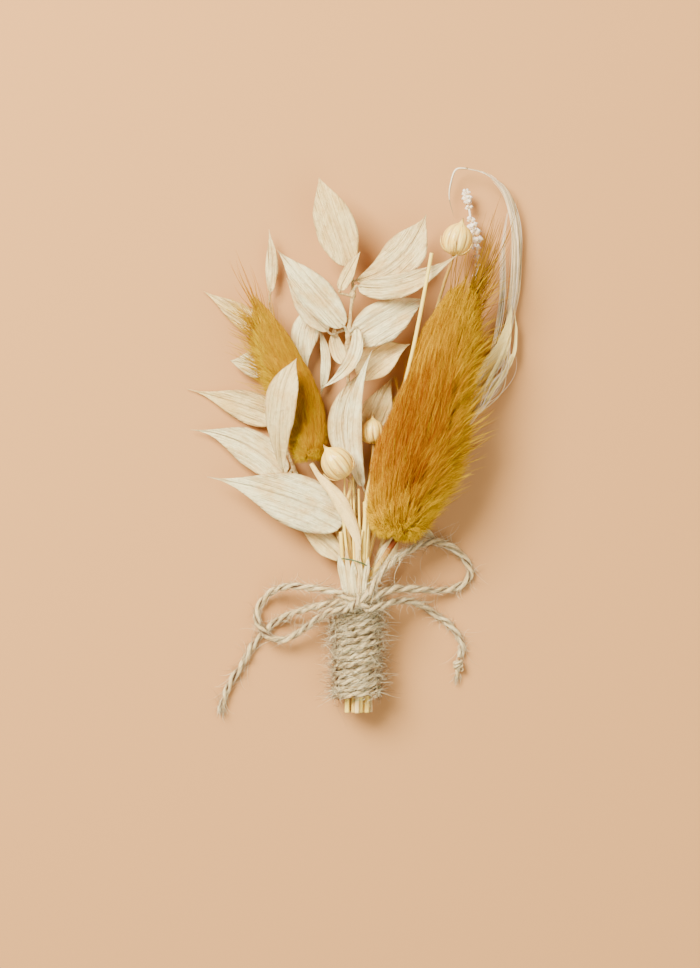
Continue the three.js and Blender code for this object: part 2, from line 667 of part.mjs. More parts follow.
// The bow's free twine, by the points that it passes. Each starts at the knot.
const BOW_LOOP_LEFT = [
  [-3, -38.4, 13.4], [-6, -37.6, 12.4], [-10, -37, 10.4], [-14.5, -36.6, 7.6], [-18.75, -37.1, 4.6],
  [-21.9, -39, 2.4], [-24.1, -41.6, 1.4], [-24.9, -44, 1.8], [-24.3, -46.6, 3.2], [-22.4, -48.9, 3.8],
  [-19.6, -50.2, 3.6], [-16.8, -50, 3.8], [-13.6, -48, 5], [-10, -45.2, 7.8], [-6.4, -42.8, 11],
  [-3, -42.1, 13.4],
];
const BOW_TAIL_LEFT = [
  [-3.1, -39.9, 12.3], [-5.4, -40.6, 11], [-8.4, -41.4, 8.6], [-12.5, -42.5, 5.6], [-16.25, -43.9, 3],
  [-18.9, -45.2, 1.5], [-21.4, -47, 1], [-24, -49.6, 0.95], [-25.7, -51.6, 0.95], [-27.3, -54.4, 0.95],
  [-28.9, -57.2, 0.95], [-31, -60.4, 0.95], [-32.5, -63.4, 0.95], [-33.5, -66.2, 0.95], [-34, -68.6, 0.95],
];
const BOW_LOOP_RIGHT = [
  [3.2, -38.4, 13.6], [5, -35.2, 13.4], [7.6, -31.8, 11.8], [10.4, -29.4, 10], [13.4, -27.6, 8.2],
  [16.6, -26.1, 6.4], [20, -25.4, 5], [23.3, -26.2, 3.6], [26.2, -28.3, 2.2], [28.4, -30.8, 1.2],
  [29.3, -33.2, 0.95], [28.4, -35.4, 0.95], [26.2, -36.9, 1.1], [23.4, -37.7, 1.8], [20.2, -37.9, 3],
  [16.8, -37.6, 4.8], [13.4, -37.2, 6.8], [9.8, -37.2, 9.2], [6.8, -38, 11.6], [3.6, -39.6, 12.7],
];
const BOW_TAIL_RIGHT = [
  [3.1, -42, 13.3], [5.8, -41.5, 12.1], [8.8, -40.6, 9.6], [12.2, -40.2, 6.6], [15.6, -41, 3.9],
  [18.4, -42.6, 1.9], [20.9, -44.4, 1], [23.3, -46.1, 0.95], [25.4, -48.4, 0.95], [26.9, -50.8, 0.95],
  [27.1, -53, 0.95], [26.4, -55, 0.95],
];
const TAIL_KNOT = { centre: [26.1, -56.9, 1.6], radius: 1.5 };

function twine(points, steps) {
  const round = Array.from({ length: TWINE_SIDES }, (_, s) => {
    const angle = (2 * Math.PI * s) / TWINE_SIDES;
    return new THREE.Vector2(TWINE_RADIUS * Math.cos(angle), TWINE_RADIUS * Math.sin(angle));
  });
  const extrudePath = curveThrough(points);
  return solidFrom(new THREE.ExtrudeGeometry(new THREE.Shape(round), { steps, extrudePath }));
}

// The small knot that keeps the right tail from fraying, and the end of the twine below it.
function tailKnot() {
  const ball = new THREE.SphereGeometry(TAIL_KNOT.radius, 8, 6);
  ball.scale(1, 1.1, 1).translate(...TAIL_KNOT.centre);
  const [x, y, z] = TAIL_KNOT.centre;
  const end = [
    [x, y - 0.8, z],
    [x - 0.2, y - 2, z - 0.3],
    [x - 0.4, y - 3, z - 0.8],
  ];
  return joined([solidFrom(ball), stalk(end, taper(0.8, 0.5), 3, KNOT_SIDES)]);
}

add("twine_winding", COLOURS.twine, winding());
add("bow_knot", COLOURS.twine, knot());
add("bow_loop_left", COLOURS.twine, twine(BOW_LOOP_LEFT, 22));
add("bow_loop_right", COLOURS.twine, twine(BOW_LOOP_RIGHT, 26));
add("bow_tail_left", COLOURS.twine, twine(BOW_TAIL_LEFT, 18));
add("bow_tail_right", COLOURS.twine, twine(BOW_TAIL_RIGHT, 14));
add("bow_tail_knot", COLOURS.twine, tailKnot());

// ---------------------------------------------------------------- binding wire

// Its middle, how far it reaches across and up from there, and how far its sides lean along Y.
const BINDING_WIRE = { x: 1.2, y: -33, z: 6.5, across: 6.5, up: 5.9, lean: 2.4, radius: 0.35 };
const WIRE_STEPS = 20;

// Thin four-sided wire once round the stems where they fan out.
function bindingWire() {
  const { x, y, z, across, up, lean, radius } = BINDING_WIRE;
  const rings = Array.from({ length: WIRE_STEPS }, (_, i) => {
    const angle = (2 * Math.PI * i) / WIRE_STEPS;
    const out = new THREE.Vector3(Math.cos(angle), 0, Math.sin(angle));
    const centre = new THREE.Vector3(x + across * out.x, y - lean * out.x, z + up * out.z);
    return [0, 1, 2, 3].map((s) => {
      const turn = (Math.PI * s) / 2;
      return centre
        .clone()
        .addScaledVector(out, radius * Math.cos(turn))
        .add(new THREE.Vector3(0, radius * Math.sin(turn), 0));
    });
  });
  const index = [];
  for (let r = 0; r < WIRE_STEPS; r++) {
    const next = (r + 1) % WIRE_STEPS;
    for (let s = 0; s < 4; s++) {
      const [a, b] = [r * 4 + s, r * 4 + ((s + 1) % 4)];
      const [c, d] = [next * 4 + s, next * 4 + ((s + 1) % 4)];
      index.push(a, b, d, a, d, c);
    }
  }
  return solidOf(rings.flat(), index);
}

add("binding_wire", COLOURS.wire, bindingWire());

// ---------------------------------------------------------------- bunny tails

const CORE_SHARE = 0.72; // the core's radius, as a share of how far the hairs reach
const CORE_RINGS = [0, 0.05, 0.16, 0.3, 0.45, 0.6, 0.75, 0.88, 1]; // shares of the head's length
const ROOT_DEPTH = 0.9; // how far the hairs are sunk into it
const CORE_SIDES = 8;
const AXIS_STEPS = 100; // along the middle of a head
const SHORTER = [1, 0.8, 0.62, 0.45]; // the lengths that a hair is tried at to clear other pieces

// A head of long soft hairs that stand out of a slim core and lean towards its tip.
//   axis: the points down its middle; reach: how far from it the hairs reach at each share of it;
//   flat: how much thinner it is than wide; lean: degrees between the hairs and the axis;
//   rings, perRing: how many hairs; awns, awnLength: the long bristles at its tip
function bunnyTail({ axis, reach, flat, lean, rings, perRing, awns, awnLength, seed }) {
  const random = randomFrom(seed);
  const frames = framesAlong(curveThrough(axis), AXIS_STEPS);
  const frameAt = (t) => frames[Math.round(t * AXIS_STEPS)];
  const coreAt = (t) => CORE_SHARE * reach(t);
  const offset = (frame, angle, distance) =>
    frame.centre
      .clone()
      .addScaledVector(frame.across, distance * Math.cos(angle))
      .addScaledVector(frame.up, distance * flat * Math.sin(angle));
  const core = loft(
    CORE_RINGS.map((t) =>
      Array.from({ length: CORE_SIDES }, (_, s) =>
        offset(frameAt(t), (2 * Math.PI * s) / CORE_SIDES, coreAt(t)),
      ),
    ),
  );
  const others = wasm.Manifold.union([...solids.values()]);
  const wide = HAIR_RADIUS + HAIR_CLEARANCE;
  const clear = (root, tip) => spike(root, tip, wide).intersect(others).isEmpty();
  const hairs = [];
  // The longest hair on this line that keeps clear of every other piece.
  const grow = (root, direction, length) => {
    for (const share of SHORTER) {
      const tip = root.clone().addScaledVector(direction, length * share);
      if (tip.z > 0.1 && clear(root, tip.clone().addScaledVector(direction, HAIR_CLEARANCE))) {
        hairs.push(spike(root, tip, HAIR_RADIUS));
        return;
      }
    }
  };
  for (let r = 0; r < rings; r++) {
    for (let s = 0; s < perRing; s++) {
      const t = Math.min(0.98, (r + 0.2 + 0.6 * random()) / rings);
      const angle = (2 * Math.PI * (s + 0.5 * (r % 2) + 0.5 * (random() - 0.5))) / perRing;
      const frame = frameAt(t);
      const root = offset(frame, angle, coreAt(t) - ROOT_DEPTH);
      const out = offset(frame, angle, 1).sub(frame.centre).normalize();
      const tilt = THREE.MathUtils.degToRad(lean * (0.75 + 0.5 * random()));
      const direction = frame.along.clone().multiplyScalar(Math.cos(tilt));
      direction.addScaledVector(out, Math.sin(tilt));
      const length = (reach(t) - coreAt(t) + ROOT_DEPTH) / Math.sin(tilt);
      grow(root, direction, length * (0.85 + 0.3 * random()));
    }
  }
  const end = frameAt(1);
  for (let a = 0; a < awns; a++) {
    const angle = (2 * Math.PI * (a + random())) / awns;
    const root = offset(frameAt(0.94), angle, 0.5 * coreAt(0.94));
    const out = offset(end, angle, 1).sub(end.centre).normalize();
    const direction = end.along.clone().addScaledVector(out, 0.12 + 0.3 * random()).normalize();
    grow(root, direction, awnLength * (0.6 + 0.4 * random()));
  }
  return joined([core, ...hairs]);
}

// How far the hairs of each head reach along it: pairs of a share of its length and a radius.
const SMALL_HEAD = [[0, 2.8], [0.05, 4.5], [0.16, 5.4], [0.5, 6.1], [0.75, 5], [0.9, 3], [1, 1.4]];
const BIG_HEAD = [
  [0, 4.4], [0.04, 7.4], [0.13, 9.1], [0.3, 11.4], [0.42, 10.9], [0.58, 8.8], [0.84, 7.4], [0.94, 4.8], [1, 2.6],
];

// A smooth reading between such pairs.
function radiusFrom(pairs) {
  return (t) => {
    const next = Math.max(1, pairs.findIndex(([share]) => share >= t));
    const [[t0, r0], [t1, r1]] = [pairs[next - 1], pairs[next]];
    return r0 + (r1 - r0) * THREE.MathUtils.smoothstep(t, t0, t1);
  };
}

const SHEATH_START = 0.55; // where the leaf sheath begins, as a share of the left tail's stem
const SHEATH_SWELL = 0.5; // how much thicker the stem is in its sheath

function sheathed(t) {
  const along = Math.max(0, t - SHEATH_START) / (1 - SHEATH_START);
  return STEM_RADIUS + SHEATH_SWELL * Math.sin(Math.PI * along);
}

add(
  "bunny_tail_left_stem",
  COLOURS.bleached,
  stalk(
    stemPath(outer(90), [
      [0.6, -33, 10.4],
      [0.4, -24, 11.4],
      [-2.6, -17, 11.4],
      [-7.4, -11.4, 10.2],
      [-10.9, -5.95, 8.8],
    ]),
    sheathed,
    16,
    6,
  ),
);
add(
  "bunny_tail_right_stem",
  COLOURS.ochre,
  stalk(
    stemPath(outer(30), [
      [4.2, -34, 8.2],
      [6.8, -30, 9.3],
      [10, -24.95, 10.4],
    ]),
    taper(STEM_RADIUS, 0.75),
    12,
    6,
  ),
);
add(
  "bunny_tail_left_head",
  COLOURS.mustard,
  bunnyTail({
    axis: [[-11.2, -5.2, 8.6], [-12, 0, 8.6], [-13, 6, 8.5], [-15, 11.5, 8.4], [-18.4, 17.5, 8.4],
      [-21.4, 24.5, 8.4], [-23.4, 30.5, 8.5], [-25.2, 35, 8.6]],
    reach: radiusFrom(SMALL_HEAD),
    flat: 0.75,
    lean: 24,
    seed: 11,
    ...SMALL_HEAD_HAIRS,
  }),
);
add(
  "bunny_tail_right_head",
  COLOURS.ochre,
  bunnyTail({
    axis: [[10.3, -24.4, 10.6], [11.8, -15, 12], [14.6, -8.4, 12.6], [17.8, 0, 13], [19.8, 8, 13.2],
      [22.2, 17, 13.2], [24.6, 27, 13], [28.2, 39, 12.4]],
    reach: radiusFrom(BIG_HEAD),
    flat: 0.82,
    lean: 26,
    seed: 23,
    ...BIG_HEAD_HAIRS,
  }),
);

export default group;
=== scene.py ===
"""A dried-flower boutonniere lying on its back: bleached ruscus, two dyed bunny tails, flax pods, a
heather sprig and feather grass, bound with wire, wound with jute twine and tied in a bow.

The tables are in millimetres, in the frame of the solids: +X is right, +Y runs from the cut stems to
the tips, and +Z is up from the surface that it lies on."""

import bpy
import numpy as np
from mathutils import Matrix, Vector


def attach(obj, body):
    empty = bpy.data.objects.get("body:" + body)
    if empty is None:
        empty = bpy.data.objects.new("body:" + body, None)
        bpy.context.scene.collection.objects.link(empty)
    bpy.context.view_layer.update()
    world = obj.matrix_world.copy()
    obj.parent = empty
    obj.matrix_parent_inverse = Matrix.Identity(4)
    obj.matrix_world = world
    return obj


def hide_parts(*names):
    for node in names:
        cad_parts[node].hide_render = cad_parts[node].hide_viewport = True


bl_info = {
    "name": "Dried-flower boutonniere",
    "version": (1, 0, 0),
    "blender": (4, 5, 0),
    "location": "View3D > Sidebar > Boutonniere",
    "description": "Makes the pieces of a boutonniere of dried flowers over its frame of solids",
    "category": "Add Mesh",
}

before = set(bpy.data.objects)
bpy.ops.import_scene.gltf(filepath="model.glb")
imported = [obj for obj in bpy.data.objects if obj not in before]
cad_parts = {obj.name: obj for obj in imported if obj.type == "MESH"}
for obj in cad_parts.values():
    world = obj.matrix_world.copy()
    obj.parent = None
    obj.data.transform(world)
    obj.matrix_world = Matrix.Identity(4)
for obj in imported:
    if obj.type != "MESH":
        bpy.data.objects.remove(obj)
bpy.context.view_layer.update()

MM = 0.001
UP = np.array([0.0, 0.0, 1.0])

# ---------------------------------------------------------------- the bound stems

BUNDLE_X = 0.5
BUNDLE_Z = 5.93
STEM_PITCH = 1.65
STEM_RADIUS = 0.6  # of most stems at their cut end
STEM_ENDS = (-68.2, -60, -52, -45, -39)  # where a stem is straight inside the winding
WIND_PITCH = 1.97
WIND_TURNS = 13
WIND_BOTTOM = -64.5
WIND_RADIUS = 4.99  # to the middle of the twine
WIND_SLANT = 0.2  # how much higher a turn lies in each millimetre to the right
WIND_LAY = 6.2  # length of twine in one turn of its plies


def inner(degrees):
    """A place in the ring of six stems round the middle one."""
    return degrees, STEM_PITCH


def outer(degrees):
    """A place in the second ring of stems, packed like hexagons."""
    return degrees, STEM_PITCH * (2 if degrees % 60 == 0 else 3**0.5)


def stem_path(place, fan):
    """The straight stretch of a stem inside the winding, and then its own way out of the bundle."""
    angle, distance = np.radians(place[0]), place[1]
    x, z = BUNDLE_X + distance * np.cos(angle), BUNDLE_Z + distance * np.sin(angle)
    return [(x, y, z) for y in STEM_ENDS] + list(fan)


# ---------------------------------------------------------------- tables of the plants

CENTRE_STEM = stem_path((0, 0), [
    (0.3, -30, 6.0), (0, -15, 6.4), (-1, 0, 6.9), (-1.75, 15, 7.4), (-1.9, 22, 7.7), (-1.2, 31, 8.1),
    (-0.5, 38, 8.5), (-1.2, 42.5, 9), (-1, 46.5, 9.6)])
CENTRE_LEAVES = [
    dict(root=(-1.1, 45, 9.4), base=(-1.5, 43.5, 9.2), via=(-5.5, 55, 10.4), tip=(-9, 65.5, 9),
         half=5.1, roll=-6, fold=0.12, curl=0.12, drawn=0.5),
    dict(root=(-1.8, 26, 7.9), base=(-2.8, 28.3, 8.8), via=(-11.2, 37.6, 10.3), tip=(-19.4, 47.4, 9.4),
         half=4.4, roll=8, fold=0.2),
    dict(root=(-0.7, 36.4, 8.4), base=(0.4, 39.8, 8.8), via=(11, 45.4, 9), tip=(17.8, 56.4, 8.2),
         half=4.9, roll=6, fold=0.15, broad=1.2),
    dict(root=(-0.6, 36.8, 8.4), base=(0.9, 38.2, 9.8), via=(12.6, 38.8, 12), tip=(25.4, 45.8, 13.8),
         half=3.1, roll=8, fold=0.15, curl=0.1),
    dict(root=(-1.7, 23.5, 7.7), base=(-0.4, 24.8, 7.6), via=(8.3, 30.4, 8.3), tip=(17.4, 35.4, 6.6),
         half=5.2, roll=4, fold=0.12, drawn=0.4),
    dict(root=(-1.8, 26.5, 7.9), base=(0.4, 27.6, 9.4), via=(-1.2, 19, 11.6), tip=(-8.6, 12.8, 10.8),
         half=1.9, roll=8, fold=0.3),
    dict(root=(-1.6, 12, 7.3), base=(1.4, 15.2, 6), via=(6.8, 20.4, 5), tip=(14, 24.2, 4.4),
         half=4.6, roll=-12, fold=0.25, curl=0.35),
    dict(root=(0, -14, 6.4), base=(-0.4, -7.4, 8.2), via=(-2.8, 6, 9.2), tip=(2.4, 18, 8.8),
         half=3.9, roll=4, fold=0.1, curl=0.1),
    dict(root=(0.3, -29, 6.1), base=(1.9, -11.6, 9.6), via=(-0.4, 5, 11.3), tip=(4.3, 22.4, 10.9),
         half=2.3, roll=-6, fold=0.25),
    dict(root=(-0.9, -1, 6.8), base=(3.2, 1.5, 3), via=(6, 8.4, 2.4), tip=(9.4, 16, 2.6),
         half=3.8, roll=0, fold=0.15),
    dict(root=(-1.6, 28, 7.9), base=(-6.8, 27.4, 6.4), via=(-12.4, 33.4, 6.2), tip=(-17.2, 40.6, 6.4),
         half=2.8, roll=14, fold=0.2),
    dict(root=(-1.8, 24, 7.7), base=(-2.6, 19.4, 6), via=(-4.6, 23.6, 5), tip=(-5.2, 29.4, 5),
         half=2, roll=-14, fold=0.3),
    dict(root=(-1.4, 29.6, 8), base=(-8.2, 33.4, 4.9), via=(-12.7, 26.6, 4), tip=(-11.8, 17.4, 3.8),
         half=3.6, roll=0, fold=0.1, broad=0.9),
    dict(root=(-0.8, 36, 8.4), base=(-3.6, 37.4, 9.4), via=(-1.6, 41.6, 10.4), tip=(1.3, 46.8, 10.8),
         half=1.7, roll=-8, fold=0.35, drawn=0.5),
]
LEFT_STEM = stem_path(inner(180), [
    (-2.2, -33, 5.2), (-4, -24, 4.8), (-9.5, -15.5, 4.6), (-14.5, -9, 3.8), (-17.4, -2, 2.5),
    (-19, 3.4, 1.9)])
LEFT_LEAVES = [
    dict(root=(-18.8, 2.6, 2), base=(-19.2, 5.4, 2), via=(-29.4, 9.3, 1.9), tip=(-42.6, 13.1, 0.5),
         half=4.2, roll=-4, fold=0.06, broad=0.66, drawn=1.6),
    dict(root=(-15.6, -7, 3.4), base=(-17.6, -8.8, 3.6), via=(-28.6, -0.6, 3.4), tip=(-41.6, 2.7, 1.4),
         half=4.8, roll=-6, fold=0.08, broad=0.62, drawn=1.6),
    dict(root=(-4, -24, 4.8), base=(-2.8, -20.8, 6.4), via=(-18, -14, 7.8), tip=(-37.2, -9.2, 5.2),
         half=6.7, roll=2, fold=0.08, broad=0.66, drawn=1.3),
    dict(root=(-14.4, -9.1, 3.8), base=(-18, -7.4, 8.4), via=(-18.2, 7.6, 15.6), tip=(-14.4, 20, 15.6),
         half=4.1, roll=-10, fold=0.3, broad=1.25, drawn=0.7),
    dict(root=(-2.2, -33, 5.2), base=(-3.2, -30, 5), via=(-8.6, -25, 4.4), tip=(-15, -20.8, 3.6),
         half=2.9, roll=8, fold=0.15),
]
BACK_STEM = stem_path(outer(210), [
    (-1.6, -33, 3.6), (-3.4, -22, 2.3), (-7.4, -8, 1.8), (-12, 6, 1.7), (-16.4, 18, 1.7),
    (-19.6, 27, 1.9)])
BACK_LEAVES = [
    dict(root=(-19.3, 26.4, 1.9), base=(-21.3, 37.6, 2.6), via=(-21, 45.5, 3.2), tip=(-21.7, 53.2, 3),
         half=1.6, roll=6, fold=0.3, drawn=1.2),
    dict(root=(-18, 22.6, 1.8), base=(-21.6, 26.2, 2), via=(-29.6, 32.2, 1.9), tip=(-38.7, 38, 1),
         half=2.9, roll=-8, fold=0.1, drawn=1.2),
    dict(root=(-16.2, 17.6, 1.7), base=(-19.6, 20, 1.9), via=(-26, 19.4, 2.2), tip=(-31.6, 20.2, 2.6),
         half=3.7, roll=6, fold=0.15),
    dict(root=(-9.5, -1.6, 1.8), base=(-8.2, 13.2, 2.4), via=(-7.4, 21.6, 2.6), tip=(-9.5, 29, 2.6),
         half=1.3, roll=-10, fold=0.3),
]
RIGHT_STEM = stem_path(outer(0), [(5, -35, 6.2), (7.2, -30, 5), (10.6, -24.5, 3.6), (12.4, -21, 3)])
RIGHT_LEAVES = [
    dict(root=(11.6, -22.6, 3.2), base=(13, -21.2, 2.9), via=(17, -22.8, 2.7), tip=(21.7, -26.2, 2.3),
         half=1.5, roll=-10, fold=0.25),
    dict(root=(5, -35, 6.2), base=(5.8, -33, 6.6), via=(8.4, -28, 6.8), tip=(11.4, -22, 5.8),
         half=2.3, roll=6, fold=0.2),
]

# Each flax stem's own way out of the bundle, and its pod by its middle, its beak and its radius.
FLAX = {
    "flax_front": dict(
        place=inner(120), fan=[(-0.6, -33, 7.9), (-1.5, -24, 8.3), (-2.3, -17, 9.4)],
        centre=(-4.4, -5.9, 14.7), beak=(-7.5, -1.8, 15.8), radius=3.9),
    "flax_middle": dict(
        place=inner(0), fan=[(2.8, -33, 6.6), (3.4, -22, 7.6), (3.6, -12, 7.8)],
        centre=(4.5, 2, 7.6), beak=(4.4, 6, 7.7), radius=2.9),
    "flax_top": dict(
        place=inner(300), fan=[(2.6, -33, 4.4), (6.5, -17, 4.2), (12, 5, 4.2), (17, 22, 4.3),
                               (20.2, 32, 5.2), (22.6, 40, 7)],
        centre=(25.5, 49.8, 9.4), beak=(26.6, 54, 9.9), radius=3.8),
}

# Narrow pale sheaths over the stems, just above the knot. Each table of blades has a blade's stalk end,
# its base, a point halfway and its tip, half its width, and its shape as leaf() reads it.
SHEATHS = [
    dict(root=(-1.9, -39, 10.9), base=(-2, -38.6, 11.1), via=(-3.2, -33, 11.1), tip=(-4.1, -28.4, 10.5),
         half=1.15, roll=-16, fold=-0.35, broad=0.72, drawn=0.3, white=0.9),
    dict(root=(-1, -39.2, 11.3), base=(-1, -38.8, 11.5), via=(-1.7, -33.2, 11.6), tip=(-2.2, -26.6, 11.3),
         half=0.8, roll=-6, fold=-0.3, broad=0.8, drawn=0.35, white=0.4),
    dict(root=(0, -39.2, 11.5), base=(0, -38.8, 11.7), via=(-0.3, -33.8, 11.9), tip=(-0.5, -29.8, 12),
         half=1.05, roll=4, fold=-0.35, broad=0.7, drawn=0.3, white=0.8),
    dict(root=(1, -39.2, 11.3), base=(1.1, -38.8, 11.5), via=(1.2, -33, 11.6), tip=(0.7, -26, 11.4),
         half=0.7, roll=8, fold=-0.3, broad=0.8, drawn=0.35, white=0.3),
    dict(root=(2, -39, 10.9), base=(2.1, -38.6, 11.1), via=(2.8, -33.4, 11.1), tip=(3.4, -29.2, 10.7),
         half=1, roll=16, fold=-0.35, broad=0.72, drawn=0.3, white=0.7)]
# The broad one that wraps the small bunny tail's stem, up to its pointed end below the head.
TAIL_SHEATH = dict(
    root=(1.2, -27.4, 11.6), base=(1.1, -26.6, 11.9), via=(-3.6, -15.6, 12.2), tip=(-11.2, -6.3, 9.9),
    half=1.8, roll=0, fold=-0.45, broad=0.86, drawn=1.2, white=0.6)

STRAW_LONG = stem_path(inner(60), [
    (1.9, -33, 9), (2.4, -22, 10.2), (3, -14, 10.6), (4.4, -8, 10.8), (6.9, 0, 11), (11.2, 10, 12.6),
    (13.8, 20, 14.8), (15.9, 30, 15.2), (18.9, 46, 15.2)])
STRAW_SHORT = stem_path(outer(150), [(-2.9, -33, 7.4), (-3.3, -27, 7.6), (-3.5, -23, 7.8)])

# The thin cut straws that stand in front of the stems: each by its foot and its top.
CUT_STRAWS = [
    ((-0.6, -37.5, 9.9), (-2.6, -9.2, 11.2)), ((0.1, -37.5, 10.2), (-1.5, -10.6, 10.4)),
    ((0.9, -37.5, 10.0), (-0.5, -8.6, 9.9)), ((1.5, -37.5, 9.9), (0.9, -12.2, 11.3)),
    ((2.0, -37.5, 9.6), (2.2, -15.4, 10.4)), ((2.5, -37.5, 9.3), (3.4, -19.6, 10.0)),
    ((-1.2, -37.5, 9.6), (-3.4, -16.2, 9.3)), ((1.2, -37.5, 10.4), (1.9, -22.4, 11.2))]

HEATHER_STEM = stem_path(outer(270), [
    (1.4, -32, 1.9), (6, -15, 1.1), (13, 3, 0.7), (20, 18, 0.6), (27, 33, 0.9), (31, 44, 1.6),
    (30.4, 50, 2.4), (29.2, 56, 2.9), (28, 63.2, 3.2)])

GRASS_STEM = stem_path(outer(330), [
    (4.8, -32, 3.4), (10, -18, 2.2), (18, -4, 1.6), (26, 6, 1.5), (31, 12, 1.6)])
GRASS_BLADES = [
    dict(width=1.2, points=[(30, 11, 1.5), (34.6, 13.4, 1.8), (37.6, 17, 2.4), (39, 24, 3.4)]),
    dict(width=2.4, points=[(29.5, 10.5, 1.6), (33, 17, 3), (36, 22, 4), (38.4, 28, 4.6),
                            (39.4, 34, 4.6)]),
    dict(width=0.8, points=[(24, 3.8, 1.5), (29, 5.6, 1.3), (34.6, 10.2, 1.2)]),
    dict(width=0.9, points=[(31, 13, 2.4), (35.5, 18, 3.6), (38.6, 24, 4.8), (39.2, 31, 5.4)]),
    dict(width=0.7, points=[(30.5, 12, 3), (36, 15.5, 3.6), (39.6, 20.5, 3.6), (40.6, 27, 3.4),
                            (40.2, 33, 3.4)]),
    dict(width=0.6, points=[(29.5, 9, 2.4), (33, 14, 4.6), (36.5, 21, 5.6), (39.2, 27.5, 5.4)]),
    dict(width=0.5, points=[(28, 6, 2.2), (32.4, 9.4, 4), (36, 14.6, 5), (39.4, 21.6, 5)]),
]
# Bundles of long bristles: how many, how far apart, and the points that they pass.
GRASS_BRISTLES = [
    dict(count=110, spread=0.95, points=[
        (30, 11, 1.6), (35.5, 20, 2), (39.3, 33, 2.8), (40.4, 46, 3.4), (39.6, 56, 4),
        (37.4, 62.6, 4.4), (33, 67, 4.6), (27.8, 68.4, 4.4)]),
    dict(count=90, spread=0.8, points=[
        (30, 11, 1.6), (36.6, 22, 1.6), (40.4, 35, 1.8), (41.2, 47, 2.2), (40.4, 57, 2.8),
        (38, 63.4, 3.2), (35, 66.2, 3.4)]),
    dict(count=50, spread=0.7, points=[
        (29, 9.6, 1.5), (34.6, 22, 3.4), (37, 37, 4.6), (37.4, 50, 4.6), (38.6, 58, 4.4)]),
    dict(count=22, spread=2.2, points=[
        (27, 3, 1.8), (31, 7.4, 3.6), (34.6, 12.4, 4.6), (37.4, 18.4, 4.8), (38.6, 26, 4.8)]),
    dict(count=5, spread=0.16, points=[
        (28.4, 68.4, 4.4), (25.6, 68.2, 4.2), (24.2, 65, 3.6), (23.8, 61.4, 2.8), (25.1, 56.4, 1.6)]),
]

# ---------------------------------------------------------------- tables of the twine and the tails

BOW_LOOP_LEFT = [
    (-3, -38.4, 13.4), (-6, -37.6, 12.4), (-10, -37, 10.4), (-14.5, -36.6, 7.6), (-18.75, -37.1, 4.6),
    (-21.9, -39, 2.4), (-24.1, -41.6, 1.4), (-24.9, -44, 1.8), (-24.3, -46.6, 3.2),
    (-22.4, -48.9, 3.8), (-19.6, -50.2, 3.6), (-16.8, -50, 3.8), (-13.6, -48, 5), (-10, -45.2, 7.8),
    (-6.4, -42.8, 11), (-3, -42.1, 13.4)]
BOW_TAIL_LEFT = [
    (-3.1, -39.9, 12.3), (-5.4, -40.6, 11), (-8.4, -41.4, 8.6), (-12.5, -42.5, 5.6),
    (-16.25, -43.9, 3), (-18.9, -45.2, 1.5), (-21.4, -47, 1), (-24, -49.6, 0.95),
    (-25.7, -51.6, 0.95), (-27.3, -54.4, 0.95), (-28.9, -57.2, 0.95), (-31, -60.4, 0.95),
    (-32.5, -63.4, 0.95), (-33.5, -66.2, 0.95), (-34, -68.6, 0.95)]
BOW_LOOP_RIGHT = [
    (3.2, -38.4, 13.6), (5, -35.2, 13.4), (7.6, -31.8, 11.8), (10.4, -29.4, 10), (13.4, -27.6, 8.2),
    (16.6, -26.1, 6.4), (20, -25.4, 5), (23.3, -26.2, 3.6), (26.2, -28.3, 2.2), (28.4, -30.8, 1.2),
    (29.3, -33.2, 0.95), (28.4, -35.4, 0.95), (26.2, -36.9, 1.1), (23.4, -37.7, 1.8),
    (20.2, -37.9, 3), (16.8, -37.6, 4.8), (13.4, -37.2, 6.8), (9.8, -37.2, 9.2), (6.8, -38, 11.6),
    (3.6, -39.6, 12.7)]
BOW_TAIL_RIGHT = [
    (3.1, -42, 13.3), (5.8, -41.5, 12.1), (8.8, -40.6, 9.6), (12.2, -40.2, 6.6), (15.6, -41, 3.9),
    (18.4, -42.6, 1.9), (20.9, -44.4, 1), (23.3, -46.1, 0.95), (25.4, -48.4, 0.95),
    (26.9, -50.8, 0.95), (27.1, -53, 0.95), (26.4, -55, 0.95)]
KNOT = np.array([0.2, -40.4, 13.2])
KNOT_STRANDS = [
    [(-2.4, -0.9, 0.1), (-1.2, -0.5, 0.4), (0, 0, 0.6), (1.2, 0.4, 0.4), (2.4, 0.9, 0.1)],
    [(-2.2, 1.1, -0.2), (-1, 0.5, -0.1), (0, 0, -0.1), (1, -0.5, -0.1), (2.2, -1.1, -0.2)],
    [(-1.1, -1.7, -0.3), (-0.8, -1.2, 0.8), (-0.2, -0.2, 1.5), (0.4, 0.9, 1.2), (0.9, 1.7, 0)],
]
# Where the cords run into the knot, from the side.
KNOT_ENDS = [
    [(-3.5, 2.1, 0.1), (-2.4, 1.5, 0.5), (-1.2, 0.7, 0.6), (0, 0.1, 0.4)],
    [(-3.5, -1.9, 0.1), (-2.4, -1.3, 0.5), (-1.2, -0.6, 0.5), (0, 0, 0.3)],
    [(-3.6, 0.4, -1), (-2.4, 0.3, -0.6), (-1.2, 0.2, -0.2), (0, 0, 0)],
    [(3.3, 2.2, 0.4), (2.2, 1.4, 0.6), (1.1, 0.6, 0.6), (0, 0.1, 0.4)],
    [(3.8, 0.9, -0.6), (2.6, 0.6, -0.3), (1.3, 0.3, 0), (0, 0, 0)],
    [(3.2, -1.6, 0.1), (2.2, -1.1, 0.4), (1.1, -0.5, 0.4), (0, 0, 0.3)],
]
TAIL_KNOT = np.array([26.1, -56.9, 1.6])

WIRE = dict(centre=(0, -30.4, 6.5), across=4.6, up=5.85, lean=1.3, back=1.6)

